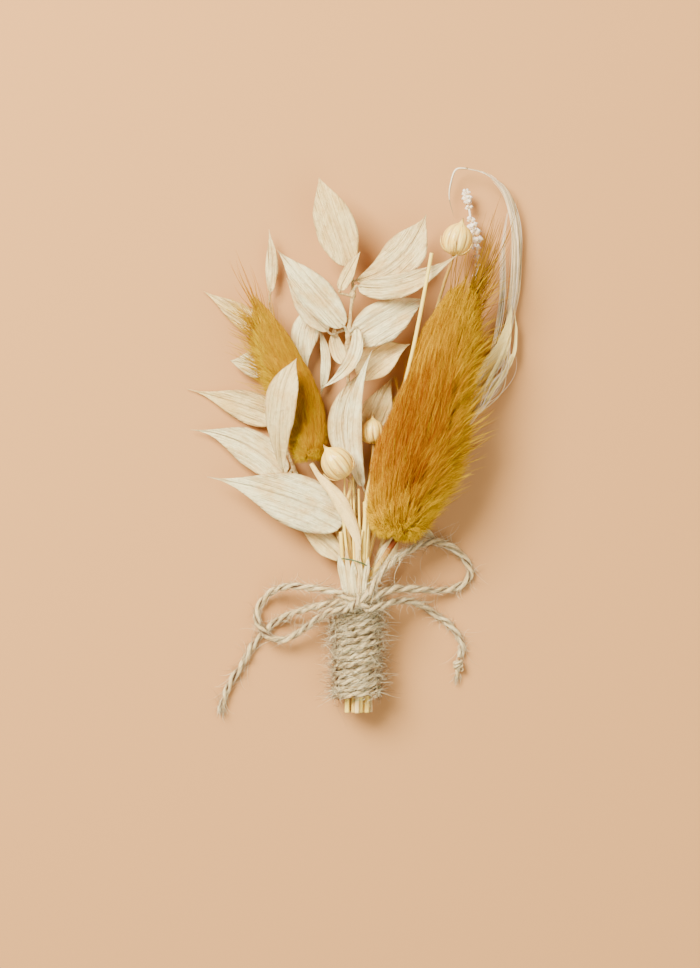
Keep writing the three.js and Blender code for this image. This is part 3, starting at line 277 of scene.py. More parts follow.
LEFT_TAIL_STEM = stem_path(outer(90), [
    (0.6, -33, 10.4), (0.4, -24, 11.4), (-2.6, -17, 11.4), (-7.4, -11.4, 10.2), (-10.9, -5.95, 8.8)])
RIGHT_TAIL_STEM = stem_path(outer(30), [(4.2, -34, 8.2), (6.8, -30, 9.3), (10, -24.95, 10.4)])

# The points down the middle of each head; how far its hairs reach at a share of its length; how thick
# it is against its width; the length of its hairs; its open side, 1 left and -1 right; and how golden
# its hairs are along it, and how much more on its open side.
LEFT_TAIL = dict(
    axis=[(-11.2, -5.2, 8.6), (-12, 0, 8.6), (-13, 6, 8.5), (-15, 11.5, 8.4), (-18.4, 17.5, 8.4),
          (-21.4, 24.5, 8.4), (-23.4, 30.5, 8.5), (-25.2, 35, 8.6)],
    reach=[(0, 3.8), (0.05, 5), (0.16, 5.6), (0.5, 6.1), (0.75, 5), (0.9, 2.8), (1, 0.9)],
    flat=0.75, hair=7.5, open_side=1,
    gold=[(0, 0.5), (0.12, 0.35), (0.3, 0.2), (0.5, 0.25), (0.75, 0.5), (1, 0.6)], gold_side=0.8)
RIGHT_TAIL = dict(
    axis=[(10.3, -24.4, 10.6), (11.8, -15, 12), (14.6, -8.4, 12.6), (17.8, 0, 13), (19.8, 8, 13.2),
          (22.2, 17, 13.2), (24.6, 27, 13), (28.2, 39, 12.4)],
    reach=[(0, 5.8), (0.04, 7.9), (0.13, 9.2), (0.3, 11.4), (0.42, 10.9), (0.58, 8.8), (0.8, 7.6),
           (0.87, 6), (0.95, 4.4), (1, 1.5)],
    flat=0.82, hair=11, open_side=-1,
    gold=[(0, 1), (0.09, 0.95), (0.18, 0.5), (0.28, 0.15), (0.45, 0.05), (0.65, 0.15), (0.8, 0.55),
          (1, 1)],
    gold_side=0.8)

# Long single hairs: how many, the longest, between which shares of a head, how thick, on which side,
# how far they lean out in degrees, and how golden they are.
LEFT_WISPS = (
    dict(count=34, longest=14, low=0.75, high=1, radius=0.09, lean=(0, 20), gold=0),
    dict(count=340, longest=11, low=0.2, high=0.9, radius=0.09, side=1, lean=(20, 50), gold=0.7),
    dict(count=60, longest=7, low=0.3, high=0.9, radius=0.06, side=-1, lean=(15, 35), gold=0.2))
RIGHT_WISPS = dict(longest=13, radius=0.08, side=-1, lean=(26, 56), gold=1)
RIGHT_AWNS = (
    dict(count=18, longest=22, low=0.84, high=1, radius=0.12, lean=(0, 15)),
    dict(count=30, longest=27, low=0.86, high=1, radius=0.15, side=-1, lean=(-4, 14)),
    dict(count=40, longest=19, low=0.62, high=0.95, radius=0.13, side=-1, lean=(8, 28)),
    dict(count=110, longest=11, low=0.2, high=0.6, radius=0.09, side=1, lean=(12, 36)))

# ---------------------------------------------------------------- curves

CURVE_STEPS = 24  # points that a curve is reckoned at between two given ones


def unit(vectors):
    """Vectors divided by their lengths."""
    return vectors / np.maximum(np.linalg.norm(vectors, axis=-1, keepdims=True), 1e-9)


def joined(*numbers):
    """Arrays stretched to one shape, as one array of vectors, or of the corners of triangles."""
    return np.stack(np.broadcast_arrays(*numbers), axis=-1)


def round_angles(count):
    """Angles evenly round a circle."""
    return np.linspace(0, 2 * np.pi, count, endpoint=False)


def ring(angle, across, up):
    """cos a across + sin a up."""
    return np.cos(angle) * across + np.sin(angle) * up


def lifted(points, least):
    """Points with none of them lower than a height, so that nothing sinks into the surface."""
    points[..., 2] = np.maximum(points[..., 2], least)
    return points


def between(rows, place):
    """Rows read at places such as 3.4, straight between the two nearest."""
    k = np.minimum(place.astype(int), len(rows) - 2)
    f = (place - k)[:, None]
    return rows[k] * (1 - f) + rows[k + 1] * f


def smooth_curve(points, samples):
    """Evenly spaced points on the centripetal Catmull-Rom curve through the given ones.

    With a, b, c, d four points in a row and p, q, r the square roots of the distances between them,
    the stretch from b to c is the cubic whose slope at b is (b-a)/p - (c-a)/(p+q) + (c-b)/q."""
    p = np.asarray(points, float)
    p = np.vstack([2 * p[0] - p[1], p, 2 * p[-1] - p[-2]])
    a, b, c, d = p[:-3], p[1:-2], p[2:-1], p[3:]
    root = np.sqrt(np.linalg.norm(np.diff(p, axis=0), axis=1))[:, None]
    p, q, r = root[:-2], root[1:-1], root[2:]
    leave = q * ((b - a) / p - (c - a) / (p + q) + (c - b) / q)
    arrive = q * ((c - b) / q - (d - b) / (q + r) + (d - c) / r)
    t = np.linspace(0, 1, CURVE_STEPS, endpoint=False)[:, None, None]
    cubic = (
        b + leave * t + (3 * (c - b) - 2 * leave - arrive) * t**2
        + (2 * (b - c) + leave + arrive) * t**3
    )
    fine = np.vstack([cubic.transpose(1, 0, 2).reshape(-1, 3), c[-1:]])
    length = lengths_along(fine)
    even = np.linspace(0, length[-1], samples)
    return joined(*(np.interp(even, length, fine[:, k]) for k in range(3)))


def lengths_along(points):
    """The length of a chain of points up to each of them."""
    return np.concatenate([[0], np.cumsum(np.linalg.norm(np.diff(points, axis=0), axis=1))])


def axes_along(centres):
    """Unit vectors along a chain of points, level across it, and up from it: along x across."""
    along = unit(np.gradient(centres, axis=-2))
    across = unit(np.cross(UP, along))
    return along, across, np.cross(along, across)


def wander(rng, count, stretch):
    """A smooth random curve between -1 and 1: random heights every stretch samples, joined by cosines."""
    knots = rng.uniform(-1, 1, int(count / stretch) + 3)
    x = np.arange(count) / stretch
    k = x.astype(int)
    ease = (1 - np.cos(np.pi * (x - k))) / 2
    return knots[k] * (1 - ease) + knots[k + 1] * ease


# ---------------------------------------------------------------- surfaces


def loft(rings, grain, tone):
    """Closed skins over stacks of rings: rings[stack, ring, corner] is a point.

    grain is a point's place in the pattern of its material, and tone its tint, its share of the
    length, and one more number that the material reads. Each stack's ends are closed by fans."""
    stacks, count, corners, _ = rings.shape
    index = np.arange(stacks * count * corners).reshape(stacks, count, corners)
    side = np.roll(index, -1, axis=2)
    quads = np.stack([index[:, :-1], side[:, :-1], side[:, 1:], index[:, 1:]], axis=-1)
    first, last = index[:, 0], index[:, -1]
    starts = joined(first[:, :1], first[:, 2:], first[:, 1:-1])
    ends = joined(last[:, :1], last[:, 1:-1], last[:, 2:])
    triangles = np.concatenate([starts.reshape(-1, 3), ends.reshape(-1, 3)])
    whole = rings.shape
    return (
        rings.reshape(-1, 3),
        quads.reshape(-1, 4),
        triangles,
        np.broadcast_to(grain, whole).reshape(-1, 3),
        np.broadcast_to(tone, whole).reshape(-1, 3),
    )


def skin(rings, grain, tone):
    """One closed skin over a stack of rings."""
    return loft(rings[None], grain[None], tone[None])


def tube(centres, radii, sides, tint=0.5, twist=0.0, start=0.0):
    """A round skin: centre + r (cos a across + sin a up). Its grain runs round it as (cos a, sin a),
    turned by twist radians a millimetre, and along it by its length."""
    _, across, up = axes_along(centres)
    radii = np.broadcast_to(radii, len(centres))[:, None, None]
    a = round_angles(sides)[None, :, None]
    rings = centres[:, None] + radii * ring(a, across[:, None], up[:, None])
    length = lengths_along(centres)[:, None]
    turn = a[..., 0] + twist * length
    grain = joined(np.cos(turn), np.sin(turn), start + length)
    tone = joined(tint, np.linspace(0, 1, len(centres))[:, None], 0)
    return skin(rings, grain, tone)


def blade_skin(middle, thick, grain, tone):
    """A closed skin round a thin blade: over its face, middle + thick, and back under it, middle - thick,
    with the same grain and tone on both."""
    grain, tone = (np.broadcast_to(rows, middle.shape) for rows in (grain, tone))
    faces = (middle + thick, middle - thick), (grain, grain), (tone, tone)
    return skin(*(np.concatenate([over, under[:, ::-1]], axis=1) for over, under in faces))


HAIR_REST = 0.12  # the lowest that the middle of a hair lies over the surface
HAIR_SIDEWAYS = np.array([0.37, 0.21, 0.9])  # no hair runs along it


def strands(roots, controls, tips, radius, tone, steps):
    """Many fine hairs at once, each the curve (1-s)^2 root + 2s(1-s) control + s^2 tip."""
    s = np.linspace(0, 1, steps + 1)[None, :, None]
    centre = (1 - s) ** 2 * roots[:, None] + 2 * s * (1 - s) * controls[:, None] + s**2 * tips[:, None]
    return hair_skins(lifted(centre, HAIR_REST), radius, tone)


def hair_skins(centre, radius, tone):
    """Three-sided skins along many chains of points, thinner towards the tip as 1 - 0.85 s^1.5. tone is
    each hair's tint, and the last number of its tone."""
    count, rows, _ = centre.shape
    s = np.linspace(0, 1, rows)
    along = unit(np.gradient(centre, axis=1))
    across = unit(np.cross(along, HAIR_SIDEWAYS))
    up = np.cross(along, across)
    r = np.broadcast_to(radius, count)[:, None] * (1 - 0.85 * s**1.5)
    around = ring(round_angles(3)[:, None], across[:, :, None], up[:, :, None])
    rings = centre[:, :, None] + r[..., None, None] * around
    tint, last = (np.broadcast_to(number, count)[:, None] for number in tone)
    return loft(rings, centre[:, :, None], joined(tint, s, last)[:, :, None])


LEAF_ROWS = 46
LEAF_COLUMNS = 14
LEAF_BASE = 0.32  # half the width where the blade leaves its stalk
LEAF_POINT = 0.06  # and at its tip
LEAF_BROAD = 0.74  # the power that sets where a leaf is broadest, nearer to its base when it is lower
LEAF_DRAWN = 0.8  # how much its tip is drawn out
STALK_RADII = (0.42, 0.26)


def leaf(shape, thickness, rng):
    """A thin blade along a quadratic curve from base through via to tip, and its short stalk.

    Half its width is sin(pi t^broad)^(0.7 + drawn t), made uneven by 3.5%. Across it v runs from -1 to
    1, and the blade is lifted by width (fold |v| + curl v^2), by a ripple v |v| sin(9t + 2v), by low
    waves along it, and at random at its edges. side is level, turned about the midrib by roll."""
    base, via, tip = (np.array(shape[k], float) for k in ("base", "via", "tip"))
    t = np.linspace(0, 1, LEAF_ROWS)[:, None]
    control = 2 * via - (base + tip) / 2
    centre = (1 - t) ** 2 * base + 2 * t * (1 - t) * control + t**2 * tip
    along = unit(2 * (1 - t) * (control - base) + 2 * t * (tip - control))
    level = unit(np.cross(along, UP))
    side = ring(np.radians(shape["roll"]), level, np.cross(along, level))
    normal = np.cross(side, along)

    outline = np.sin(np.pi * np.clip(t ** shape.get("broad", LEAF_BROAD), 0, 1))
    outline = outline ** (0.7 + shape.get("drawn", LEAF_DRAWN) * t)
    least = LEAF_BASE + (LEAF_POINT - LEAF_BASE) * t
    half = shape["half"]
    v = np.linspace(-1, 1, LEAF_COLUMNS + 1)[None, :]

    def edges(left, right):
        """A random curve along each half, with its waves that many rows long."""
        return np.where(v < 0, wander(rng, LEAF_ROWS, left)[:, None], wander(rng, LEAF_ROWS, right)[:, None])

    width = least + (half - least) * outline * (1 + 0.035 * edges(7, 6))
    across = v * width

    crease = np.sqrt(v**2 + 0.002)
    ripple = 0.45 * outline * v * np.abs(v) * np.sin(9 * t + 2 * v)
    flutter = 0.045 * half * outline * np.abs(v) ** 3 * edges(5, 4)
    lift = width * (shape["fold"] * crease + shape.get("curl", 0) * v**2) + ripple + flutter
    waves = wander(rng, LEAF_COLUMNS + 1, 2.3)[None, :] * 0.16 * outline
    waves = waves + 0.12 * outline * np.sin(15 * t + 5 * v + 6 * rng.random()) * (0.3 + np.abs(v))
    middle = centre[:, None] + across[..., None] * side[:, None]
    middle = middle + (lift + waves)[..., None] * normal[:, None]
    thick = thickness * (0.35 + 0.65 * np.sqrt(np.clip(1 - v**2, 0, 1)))[..., None] / 2

    tint, place = shape.get("white", rng.random()), 40 * rng.random()
    grain = joined(across, np.linalg.norm(tip - base) * t, place)
    blade = blade_skin(middle, thick * normal[:, None], grain, joined(tint, t, np.abs(v)))

    root = np.array(shape["root"], float)
    bend = base - 0.25 * np.linalg.norm(base - root) * along[0]
    stalk = smooth_curve([root, (root + bend) / 2, bend, base + 0.8 * along[0]], 14)
    return [blade, tube(stalk, np.linspace(*STALK_RADII, len(stalk)), 8, tint=tint)]


def branch(points, leaves, thickness, seed):
    """A ruscus branch: a stem with a low swelling where each leaf leaves it, and all its leaves."""
    rng = np.random.default_rng(seed)
    centres = smooth_curve(points, 220)
    share = np.linspace(0, 1, len(centres))
    radius = STEM_RADIUS - 0.24 * share**2
    for shape in leaves:
        apart = np.linalg.norm(centres - np.array(shape["root"]), axis=1)
        radius = radius + 0.2 * np.exp(-((apart / 0.9) ** 2))
    radius = radius + 0.03 * wander(rng, len(centres), 5)
    shapes = [tube(centres, radius, 12, tint=0.3)]
    for shape in leaves:
        shapes += leaf(shape, thickness, rng)
    return shapes


PLY_APART = 0.42  # from the twine's middle to a ply's, as a share of the twine's radius
PLY_RADIUS = 0.54
PLY_SIDES = 10


def twine(centres, radius, rng, lay=8.6, loose=0.26, start=0.0):
    """Two plies twisted round each other: each runs at apart (cos a across + sin a up) from the middle,
    with a = -2 pi length / lay, and pi more for the second. They open and close a little on the way.
    The last number of their tone is how deep a point lies between the plies, which the jute paint darkens as
    painted shade."""
    _, across, up = axes_along(centres)
    length = lengths_along(centres)
    shapes = []
    opening = 1 + loose * wander(rng, len(centres), 23)
    for ply in (0, 1):
        a = -2 * np.pi * (length / lay + ply / 2) + 0.6 * wander(rng, len(centres), 17)
        path = centres + (PLY_APART * radius * opening)[:, None] * ring(a[:, None], across, up)
        thick = radius * (PLY_RADIUS + 0.1 * wander(rng, len(centres), 9))
        thick = thick * np.clip(0.55 + 3 * np.minimum(length, length[-1] - length) / radius, 0, 1)
        *shape, tone = tube(path, thick, PLY_SIDES, tint=rng.random(), twist=0.9, start=start + 50 * ply)
        from_middle = shape[0].reshape(-1, PLY_SIDES, 3) - centres[:, None]
        depth = np.linalg.norm(from_middle, axis=2) / (0.97 * radius)
        # Painted shade: the nearer a point lies to the middle, between the plies, the darker the jute paint
        # makes it.
        tone = np.concatenate([tone[:, :2], 0.8 - 0.8 * depth.reshape(-1, 1)], axis=1)
        shapes.append((*shape, tone))
    return shapes


def fuzz(centres, radius, rng, per_mm, longest, thickness=0.035):
    """Loose fibres that leave the twine at a low angle, then bend away from it."""
    count = int(per_mm * lengths_along(centres)[-1])
    place = rng.random(count) * (len(centres) - 1)
    along, across, up = (axis[place.astype(int)] for axis in axes_along(centres))
    out = ring(rng.random(count)[:, None] * 2 * np.pi, across, up)
    along = along * rng.choice([-1, 1], count)[:, None]
    reach = (longest * rng.random(count) ** 2.2 + 0.6)[:, None]
    root = between(centres, place) + 0.75 * radius * out
    bend = rng.normal(0, 0.35, (count, 3))
    control = root + reach * (0.75 * along + 0.25 * out + 0.3 * bend)
    tip = root + reach * (0.75 * along + (0.3 + 0.5 * rng.random((count, 1))) * out + bend)
    return strands(root, control, tip, thickness, (rng.random(count), 1.0), steps=5)


TUFT = 40  # hairs in a tuft
LOCK = 5  # hairs in a tuft that end close together
TUFT_TURN = 2.399963  # the golden angle, from each tuft to the next
FOOT_LOW = 0.015  # the lowest share of a head's length that hairs stand on
CORE_REACH = 0.6  # how thick the core is, as a share of how far the hairs reach


class Head:
    """The middle line of a bunny tail, its axes, and places round it."""

    def __init__(self, axis, reach, flat, hair, open_side, gold, gold_side):
        self.centres = smooth_curve(axis, 120)
        self.axes = axes_along(self.centres)
        self.length = lengths_along(self.centres)[-1]
        self.pairs, self.flat, self.hair = reach, flat, hair
        self.open_side, self.gold, self.gold_side = open_side, gold, gold_side

    def reach(self, share):
        """How far the hairs reach: smooth between the pairs, r0 + (r1 - r0) (3s^2 - 2s^3)."""
        x, y = np.array(self.pairs, float).T
        share = np.clip(share, 0, 1)
        k = np.clip(np.searchsorted(x, share, side="right") - 1, 0, len(x) - 2)
        s = np.clip((share - x[k]) / (x[k + 1] - x[k]), 0, 1)
        return y[k] + (y[k + 1] - y[k]) * s * s * (3 - 2 * s)

    def gold_at(self, share, side):
        """How golden the hairs are: by their place along the head, and more on its open side."""
        places, values = zip(*self.gold)
        return np.interp(share, places, values) + self.gold_side * np.clip(side, 0, 1) ** 1.5

    def at(self, share):
        """The middle, along, across and up at each share of the length, straight on past its ends."""
        place = np.clip(share, 0, 1) * (len(self.centres) - 1)
        middle, *axes = [between(rows, place) for rows in (self.centres, *self.axes)]
        past = (share - np.clip(share, 0, 1))[:, None] * self.length
        return [middle + past * axes[0], *axes]

    def around(self, share, angle, distance):
        """middle + distance (cos angle across + flat sin angle up)."""
        middle, _, across, up = self.at(share)
        wide = (distance * np.cos(angle))[:, None]
        high = (self.flat * distance * np.sin(angle))[:, None]
        return middle + wide * across + high * up

    def core(self):
        """A closed skin inside the hairs, rounded off at its ends as (1 - x^10)^0.5."""
        share = np.linspace(FOOT_LOW, 0.92, 60)
        middle, _, across, up = self.at(share)
        a = round_angles(36)[None, :, None]
        round_off = np.sqrt(1.002 - np.linspace(-1, 1, len(share)) ** 10)
        r = (CORE_REACH * self.reach(share) * round_off)[:, None, None]
        rings = middle[:, None] + r * (np.cos(a) * across[:, None] + self.flat * np.sin(a) * up[:, None])
        side = self.open_side * np.cos(a[..., 0])
        gold = self.gold_at(share, 0)[:, None] + self.gold_side * np.clip(side, 0, 1) ** 1.5
        # Painted shade: its tone gives the core the hairs' dark root colour, the shade deep among them.
        return skin(rings, rings, joined(0.2, 0.3, gold))


def tail_hairs(head, rng, tufts, radius, low, high):
    """Hairs in tufts, laid by their tips, which lie on the head between two shares of its length.

    A tip stands at the head's reach, a little more or less at random, and its root lies back along
    the head by the length of a hair, on the core. In the lowest tenth the roots come level with the
    tips and pass them, so the hairs turn outwards and down there, and some close the round end. On the
    open side the hairs are shorter and start deeper, so they spread more."""
    share = np.linspace(low - 0.05 * (low == 0), high, 400)
    area = np.cumsum(head.reach(share))
    place = np.interp((np.arange(tufts) + rng.random(tufts)) / tufts * area[-1], area, share)
    count = tufts * TUFT
    tuft = np.repeat(np.arange(tufts), TUFT)
    inward = np.where(place[tuft] < 0, (0.02 + 0.98 * rng.random(count)) ** 0.5, 1)
    place = np.maximum(place, 0)
    turn = TUFT_TURN * np.arange(tufts) + rng.normal(0, 0.3, tufts)
    share = np.maximum(place[tuft] + rng.normal(0, 1.3 / head.length, count), -FOOT_LOW)
    angle = turn[tuft] + rng.normal(0, 1.5, count) / head.reach(place)[tuft]
    side = head.open_side * np.cos(angle)
    loose = 0.12 + 0.5 * np.clip(side + 0.2, 0, 1.2) + 0.5 * np.clip(share - 0.8, 0, 1)
    uneven = 0.16 * np.minimum(rng.exponential(1, count), 2.6) - 0.34 * rng.random(count)
    reach = inward * head.reach(share) * (1 + loose * uneven + rng.normal(0, 0.03, count))
    tip = head.around(share, angle, reach)
    back = head.hair * (1 - 0.45 * side) * (0.6 + 0.8 * rng.random(count)) / head.length
    above = np.clip(share / 0.1, 0, 1)
    back = back * above - (0.02 + 0.09 * rng.random(count)) * (1 - above)
    foot = np.clip(share - back, FOOT_LOW + 0.07 * rng.random(count), 0.96)
    swirl = rng.normal(0, 0.14, tufts)[tuft] + rng.normal(0, 0.1, count) * (1 + 3 * (1 - above))
    deep = 0.55 - 0.4 * np.clip(side, 0, 1) + 0.1 * (1 - above)
    root = head.around(foot, angle + swirl, inward * deep * head.reach(foot))
    tip = tip + 0.15 * (tip.reshape(tufts, TUFT, 3).mean(axis=1)[tuft] - tip)
    lock = np.arange(count) // LOCK
    apart = tip.reshape(-1, LOCK, 3).mean(axis=1)[lock] - tip
    far = np.maximum(np.linalg.norm(apart, axis=1, keepdims=True), 1e-6)
    tip = tip + (0.15 + 0.7 * rng.random((count, 1))) * apart * np.minimum(1, 1.6 / far)
    length = np.linalg.norm(tip - root, axis=1)[:, None]
    out = head.around(share, angle, 1.0) - head.around(share, angle, 0.0)
    control = (root + tip) / 2 + length * (0.13 * out + rng.normal(0, 0.05, (count, 3)))
    tint = rng.normal(0, 0.1, tufts)[tuft] + rng.normal(0, 0.22, lock[-1] + 1)[lock]
    tint = np.clip(0.5 + tint + rng.normal(0, 0.24, count), 0, 1)
    gold = head.gold_at(share, side) + rng.normal(0, 0.1, tufts)[tuft]
    return strands(root, control, tip, radius * (0.7 + 0.6 * rng.random(count)), (tint, gold), steps=3)


def wisps(head, rng, count, longest, low, high, radius, lean, side=0, gold=0.2):
    """Long single hairs that leave the head and pass its outline, more of them on one side of it.

    They rise less than they spread: outwards is cos a across + 0.25 sin a up, so the hairs on top lie
    along the head."""
    share = low + (high - low) * rng.random(count) ** 0.8
    angle = 2 * np.pi * rng.random(count)
    if side:
        angle = (0 if side > 0 else np.pi) + rng.normal(0, 0.6, count)
    root = head.around(share, angle, 0.6 * head.reach(share))
    _, along, across, up = head.at(share)
    out = np.cos(angle)[:, None] * across + 0.25 * np.sin(angle)[:, None] * up
    tilt = np.radians(lean[0] + (lean[1] - lean[0]) * rng.random(count))[:, None]
    reach = longest * (0.4 + 0.6 * rng.random(count) ** 1.4)[:, None]
    way = unit(np.cos(tilt) * along + np.sin(tilt) * out)
    tip = root + reach * way
    bend = rng.normal(0, 0.05, (count, 3)) * (1, 1, 0.4)
    control = root + reach * (0.5 * way + 0.07 * out + bend)
    return strands(root, control, tip, radius, (rng.random(count), gold), steps=6)


# ---------------------------------------------------------------- materials


class Value:
    """A number socket that can be reckoned with: each operator adds a Math node."""

    def __init__(self, paint, socket):
        self.paint, self.socket = paint, socket

    def _math(self, operation, *values):
        return self.paint.node("ShaderNodeMath", {"operation": operation}, dict(enumerate(values)))

    def __add__(self, other):
        return self._math("ADD", self, other)

    def __sub__(self, other):
        return self._math("SUBTRACT", self, other)

    def __rsub__(self, other):
        return self._math("SUBTRACT", other, self)

    def __mul__(self, other):
        return self._math("MULTIPLY", self, other)

    __radd__, __rmul__ = __add__, __mul__

    def within(self, low, high):
        """0 at low, 1 at high, straight between and held outside."""
        values = {"Value": self, "From Min": low, "From Max": high}
        return self.paint.node("ShaderNodeMapRange", {"clamp": True}, values)


SOCKETS = {
    "roughness": "Roughness",
    "specular": "Specular IOR Level",
    "subsurface": "Subsurface Weight",
    "subsurface_scale": "Subsurface Scale",
    "coat": "Coat Weight",
}


class Paint:
    """A material on one Principled shader. Numbers that hold all over are set on its sockets."""

    def __init__(self, name, **sockets):
        self.material = bpy.data.materials.new(name)
        self.material.use_nodes = True
        self.tree = self.material.node_tree
        self.shader = self.tree.nodes["Principled BSDF"]
        for key, value in sockets.items():
            self.shader.inputs[SOCKETS[key]].default_value = value

    def node(self, kind, settings, values, output=0):
        """A node with its settings made first and then its sockets, as the value of one output."""
        made = self.tree.nodes.new(kind)
        for key, value in settings.items():
            if key == "stops":
                ramp = made.color_ramp.elements
                while len(ramp) < len(value):
                    ramp.new(0.5)
                for element, (place, colour) in zip(ramp, value):
                    element.position = place
                    element.color = (*colour, 1)
            else:
                setattr(made, key, value)
        for key, value in values.items():
            if isinstance(value, Value):
                self.tree.links.new(value.socket, made.inputs[key])
            else:
                made.inputs[key].default_value = value
        return Value(self, made.outputs[output])

    def attribute(self, name):
        """The piece's own attribute, as a vector."""
        return self.node("ShaderNodeAttribute", {"attribute_name": name}, {}, "Vector")

    def parts(self, vector):
        """The three numbers of a vector."""
        split = self.node("ShaderNodeSeparateXYZ", {}, {"Vector": vector})
        return [Value(self, split.socket.node.outputs[k]) for k in range(3)]

    def stretched(self, vector, scale):
        """A vector multiplied by a scale for each axis."""
        return self.node("ShaderNodeVectorMath", {"operation": "MULTIPLY"}, {0: vector, 1: scale})

    def noise(self, vector, scale=1.0, detail=2.0, roughness=0.5):
        values = {"Vector": vector, "Scale": scale, "Detail": detail, "Roughness": roughness}
        return self.node("ShaderNodeTexNoise", {}, values, "Fac")

    def streaks(self, vector, scale, detail=2.0, roughness=0.5):
        """Noise drawn out along the axes with a small scale."""
        return self.noise(self.stretched(vector, scale), 1.0, detail, roughness)

    def mixed(self, share, one, other):
        """The first colour where share is 0, and the other where it is 1."""
        values = {0: share}
        for key, colour in ((6, one), (7, other)):
            values[key] = colour if isinstance(colour, Value) else (*colour, 1)
        return self.node("ShaderNodeMix", {"data_type": "RGBA", "clamp_factor": True}, values, 2)

    def ramp(self, value, stops):
        """A colour read off stops, each a place and a colour."""
        return self.node("ShaderNodeValToRGB", {"stops": stops}, {"Fac": value}, "Color")

    def finish(self, colour, roughness=None, height=None, depth=0.0, strength=1.0):
        """Links the colour, the roughness and the height of the surface, depth in millimetres."""
        links = {"Base Color": colour, "Roughness": roughness}
        if height is not None:
            values = {"Height": height, "Distance": depth * MM, "Strength": strength}
            links["Normal"] = self.node("ShaderNodeBump", {}, values)
        for key, value in links.items():
            if value is not None:
                self.tree.links.new(value.socket, self.shader.inputs[key])
        return self.material


def tinted(colour, share):
    """A colour made lighter or darker by a share of itself."""
    return tuple(min(1.0, c * share) for c in colour)


def leaf_paint(colours):
    """Bleached ruscus: close parallel veins, a darker midrib, partly painted shade in its crease, cloudy
    patches, and drier edges and tips.
    """
    p = Paint("bleached_leaf", subsurface=0.05, subsurface_scale=0.0015, specular=0.45)
    grain, tone = p.attribute("grain"), p.attribute("tone")
    tint, share, edge = p.parts(tone)
    veins = p.streaks(grain, (2.1, 0.05, 1), 4.0, 0.7)
    bands = p.streaks(grain, (0.6, 0.06, 1))
    clouds = p.streaks(grain, (0.3, 0.16, 1), 4.0, 0.6)
    mottle = p.streaks(grain, (1.1, 0.7, 1), 4.0, 0.65)
    # The midrib: partly its own darker colour, and partly painted shade in the crease along it.
    midrib = (1 - edge).within(0.88, 1.0)
    colour = p.mixed(tint, colours.leaf, colours.leaf_white)
    colour = p.mixed(clouds.within(0.42, 0.66) * 0.7, colour, colours.leaf_warm)
    colour = p.mixed(veins.within(0.5, 0.64) * 0.5, colour, colours.leaf_vein)
    # Random mottle, and the midrib's own colour with painted crease shade.
    colour = p.mixed(mottle.within(0.54, 0.7) * 0.3 + midrib * 0.26, colour, colours.leaf_vein)
    dry = edge.within(0.84, 1.0) * clouds.within(0.3, 0.6) + share.within(0.88, 1.0) * 0.6
    colour = p.mixed(dry * 0.6 + edge.within(0.93, 1.0) * 0.2, colour, colours.leaf_dry)
    height = veins + 0.9 * bands + 0.5 * mottle - 0.25 * midrib
    return p.finish(colour, 0.4 + 0.22 * veins, height, 0.9, 1.0)


def stem_paint(name, colour, dark, shine=0.5, end=None):
    """A dry stem: fine fibres along it, darker stretches, and another colour at its upper end."""
    p = Paint(name, specular=0.2)
    grain = p.attribute("grain")
    fibres = p.streaks(grain, (4.5, 4.5, 0.35), 3.0, 0.6)
    patches = p.streaks(grain, (0.6, 0.6, 0.22))
    mixed = p.mixed(fibres.within(0.42, 0.72) * 0.55, colour, dark)
    mixed = p.mixed(patches.within(0.5, 0.75) * 0.45, mixed, dark)
    if end:
        _, share, _ = p.parts(p.attribute("tone"))
        mixed = p.mixed(share.within(0.8, 0.96), mixed, end)
    return p.finish(mixed, shine + 0.25 * fibres, fibres, 0.14, 0.7)


def pod_paint(colours):
    """A flax capsule: thin satin skin with brown seams, a brown beak and pale flecks."""
    p = Paint("flax_pod", subsurface=0.06, subsurface_scale=0.002, specular=0.4, coat=0.2)
    grain, tone = p.attribute("grain"), p.attribute("tone")
    _, height, seam = p.parts(tone)
    flecks = p.noise(grain, 2.2, 4.0, 0.65)
    lines = p.streaks(grain, (3.4, 3.4, 0.7), 3.0)
    colour = p.mixed(flecks.within(0.4, 0.7) * 0.8, colours.pod, colours.pod_pale)
    colour = p.mixed(lines.within(0.46, 0.66) * 0.5, colour, colours.pod_seam)
    colour = p.mixed(seam.within(0.35, 0.9) * 0.8, colour, colours.pod_seam)
    colour = p.mixed(height.within(0.9, 1.0), colour, tinted(colours.pod_seam, 0.55))
    return p.finish(colour, 0.32 + 0.25 * flecks, lines + 0.6 * flecks, 0.1, 0.6)


def fluff_paint(name, dark, middle, pale, root):
    """Dyed fluff: dark, middle or pale by how golden a hair is, each with its own tint, and painted shade
    towards its root, deep among the hairs, so that it is paler at its tip."""
    p = Paint(name, roughness=0.7, specular=0.08)
    tint, along, gold = p.parts(p.attribute("tone"))
    colour = p.ramp(gold, [(0.0, dark), (0.5, middle), (1.0, pale)])
    colour = p.mixed(tint.within(0.55, 1.0) * 0.7, colour, pale)
    colour = p.mixed((1 - tint).within(0.45, 0.85) * (0.55 + gold * 0.35), colour, root)
    # Painted shade: each hair darker towards its root, where it lies deep among the others.
    colour = p.mixed((1 - along).within(0.35, 0.9) * 0.7, colour, root)
    return p.finish(colour)


def bristle_paint(colours):
    """Grass bristles, each with its own tint, from brown to nearly white."""
    p = Paint("grass_bristle", roughness=0.45, specular=0.3)
    tint, _, _ = p.parts(p.attribute("tone"))
    brown = tinted(colours.grass, 0.3)
    return p.finish(p.ramp(tint, [(0.1, brown), (0.4, colours.grass), (1.0, colours.heather)]))


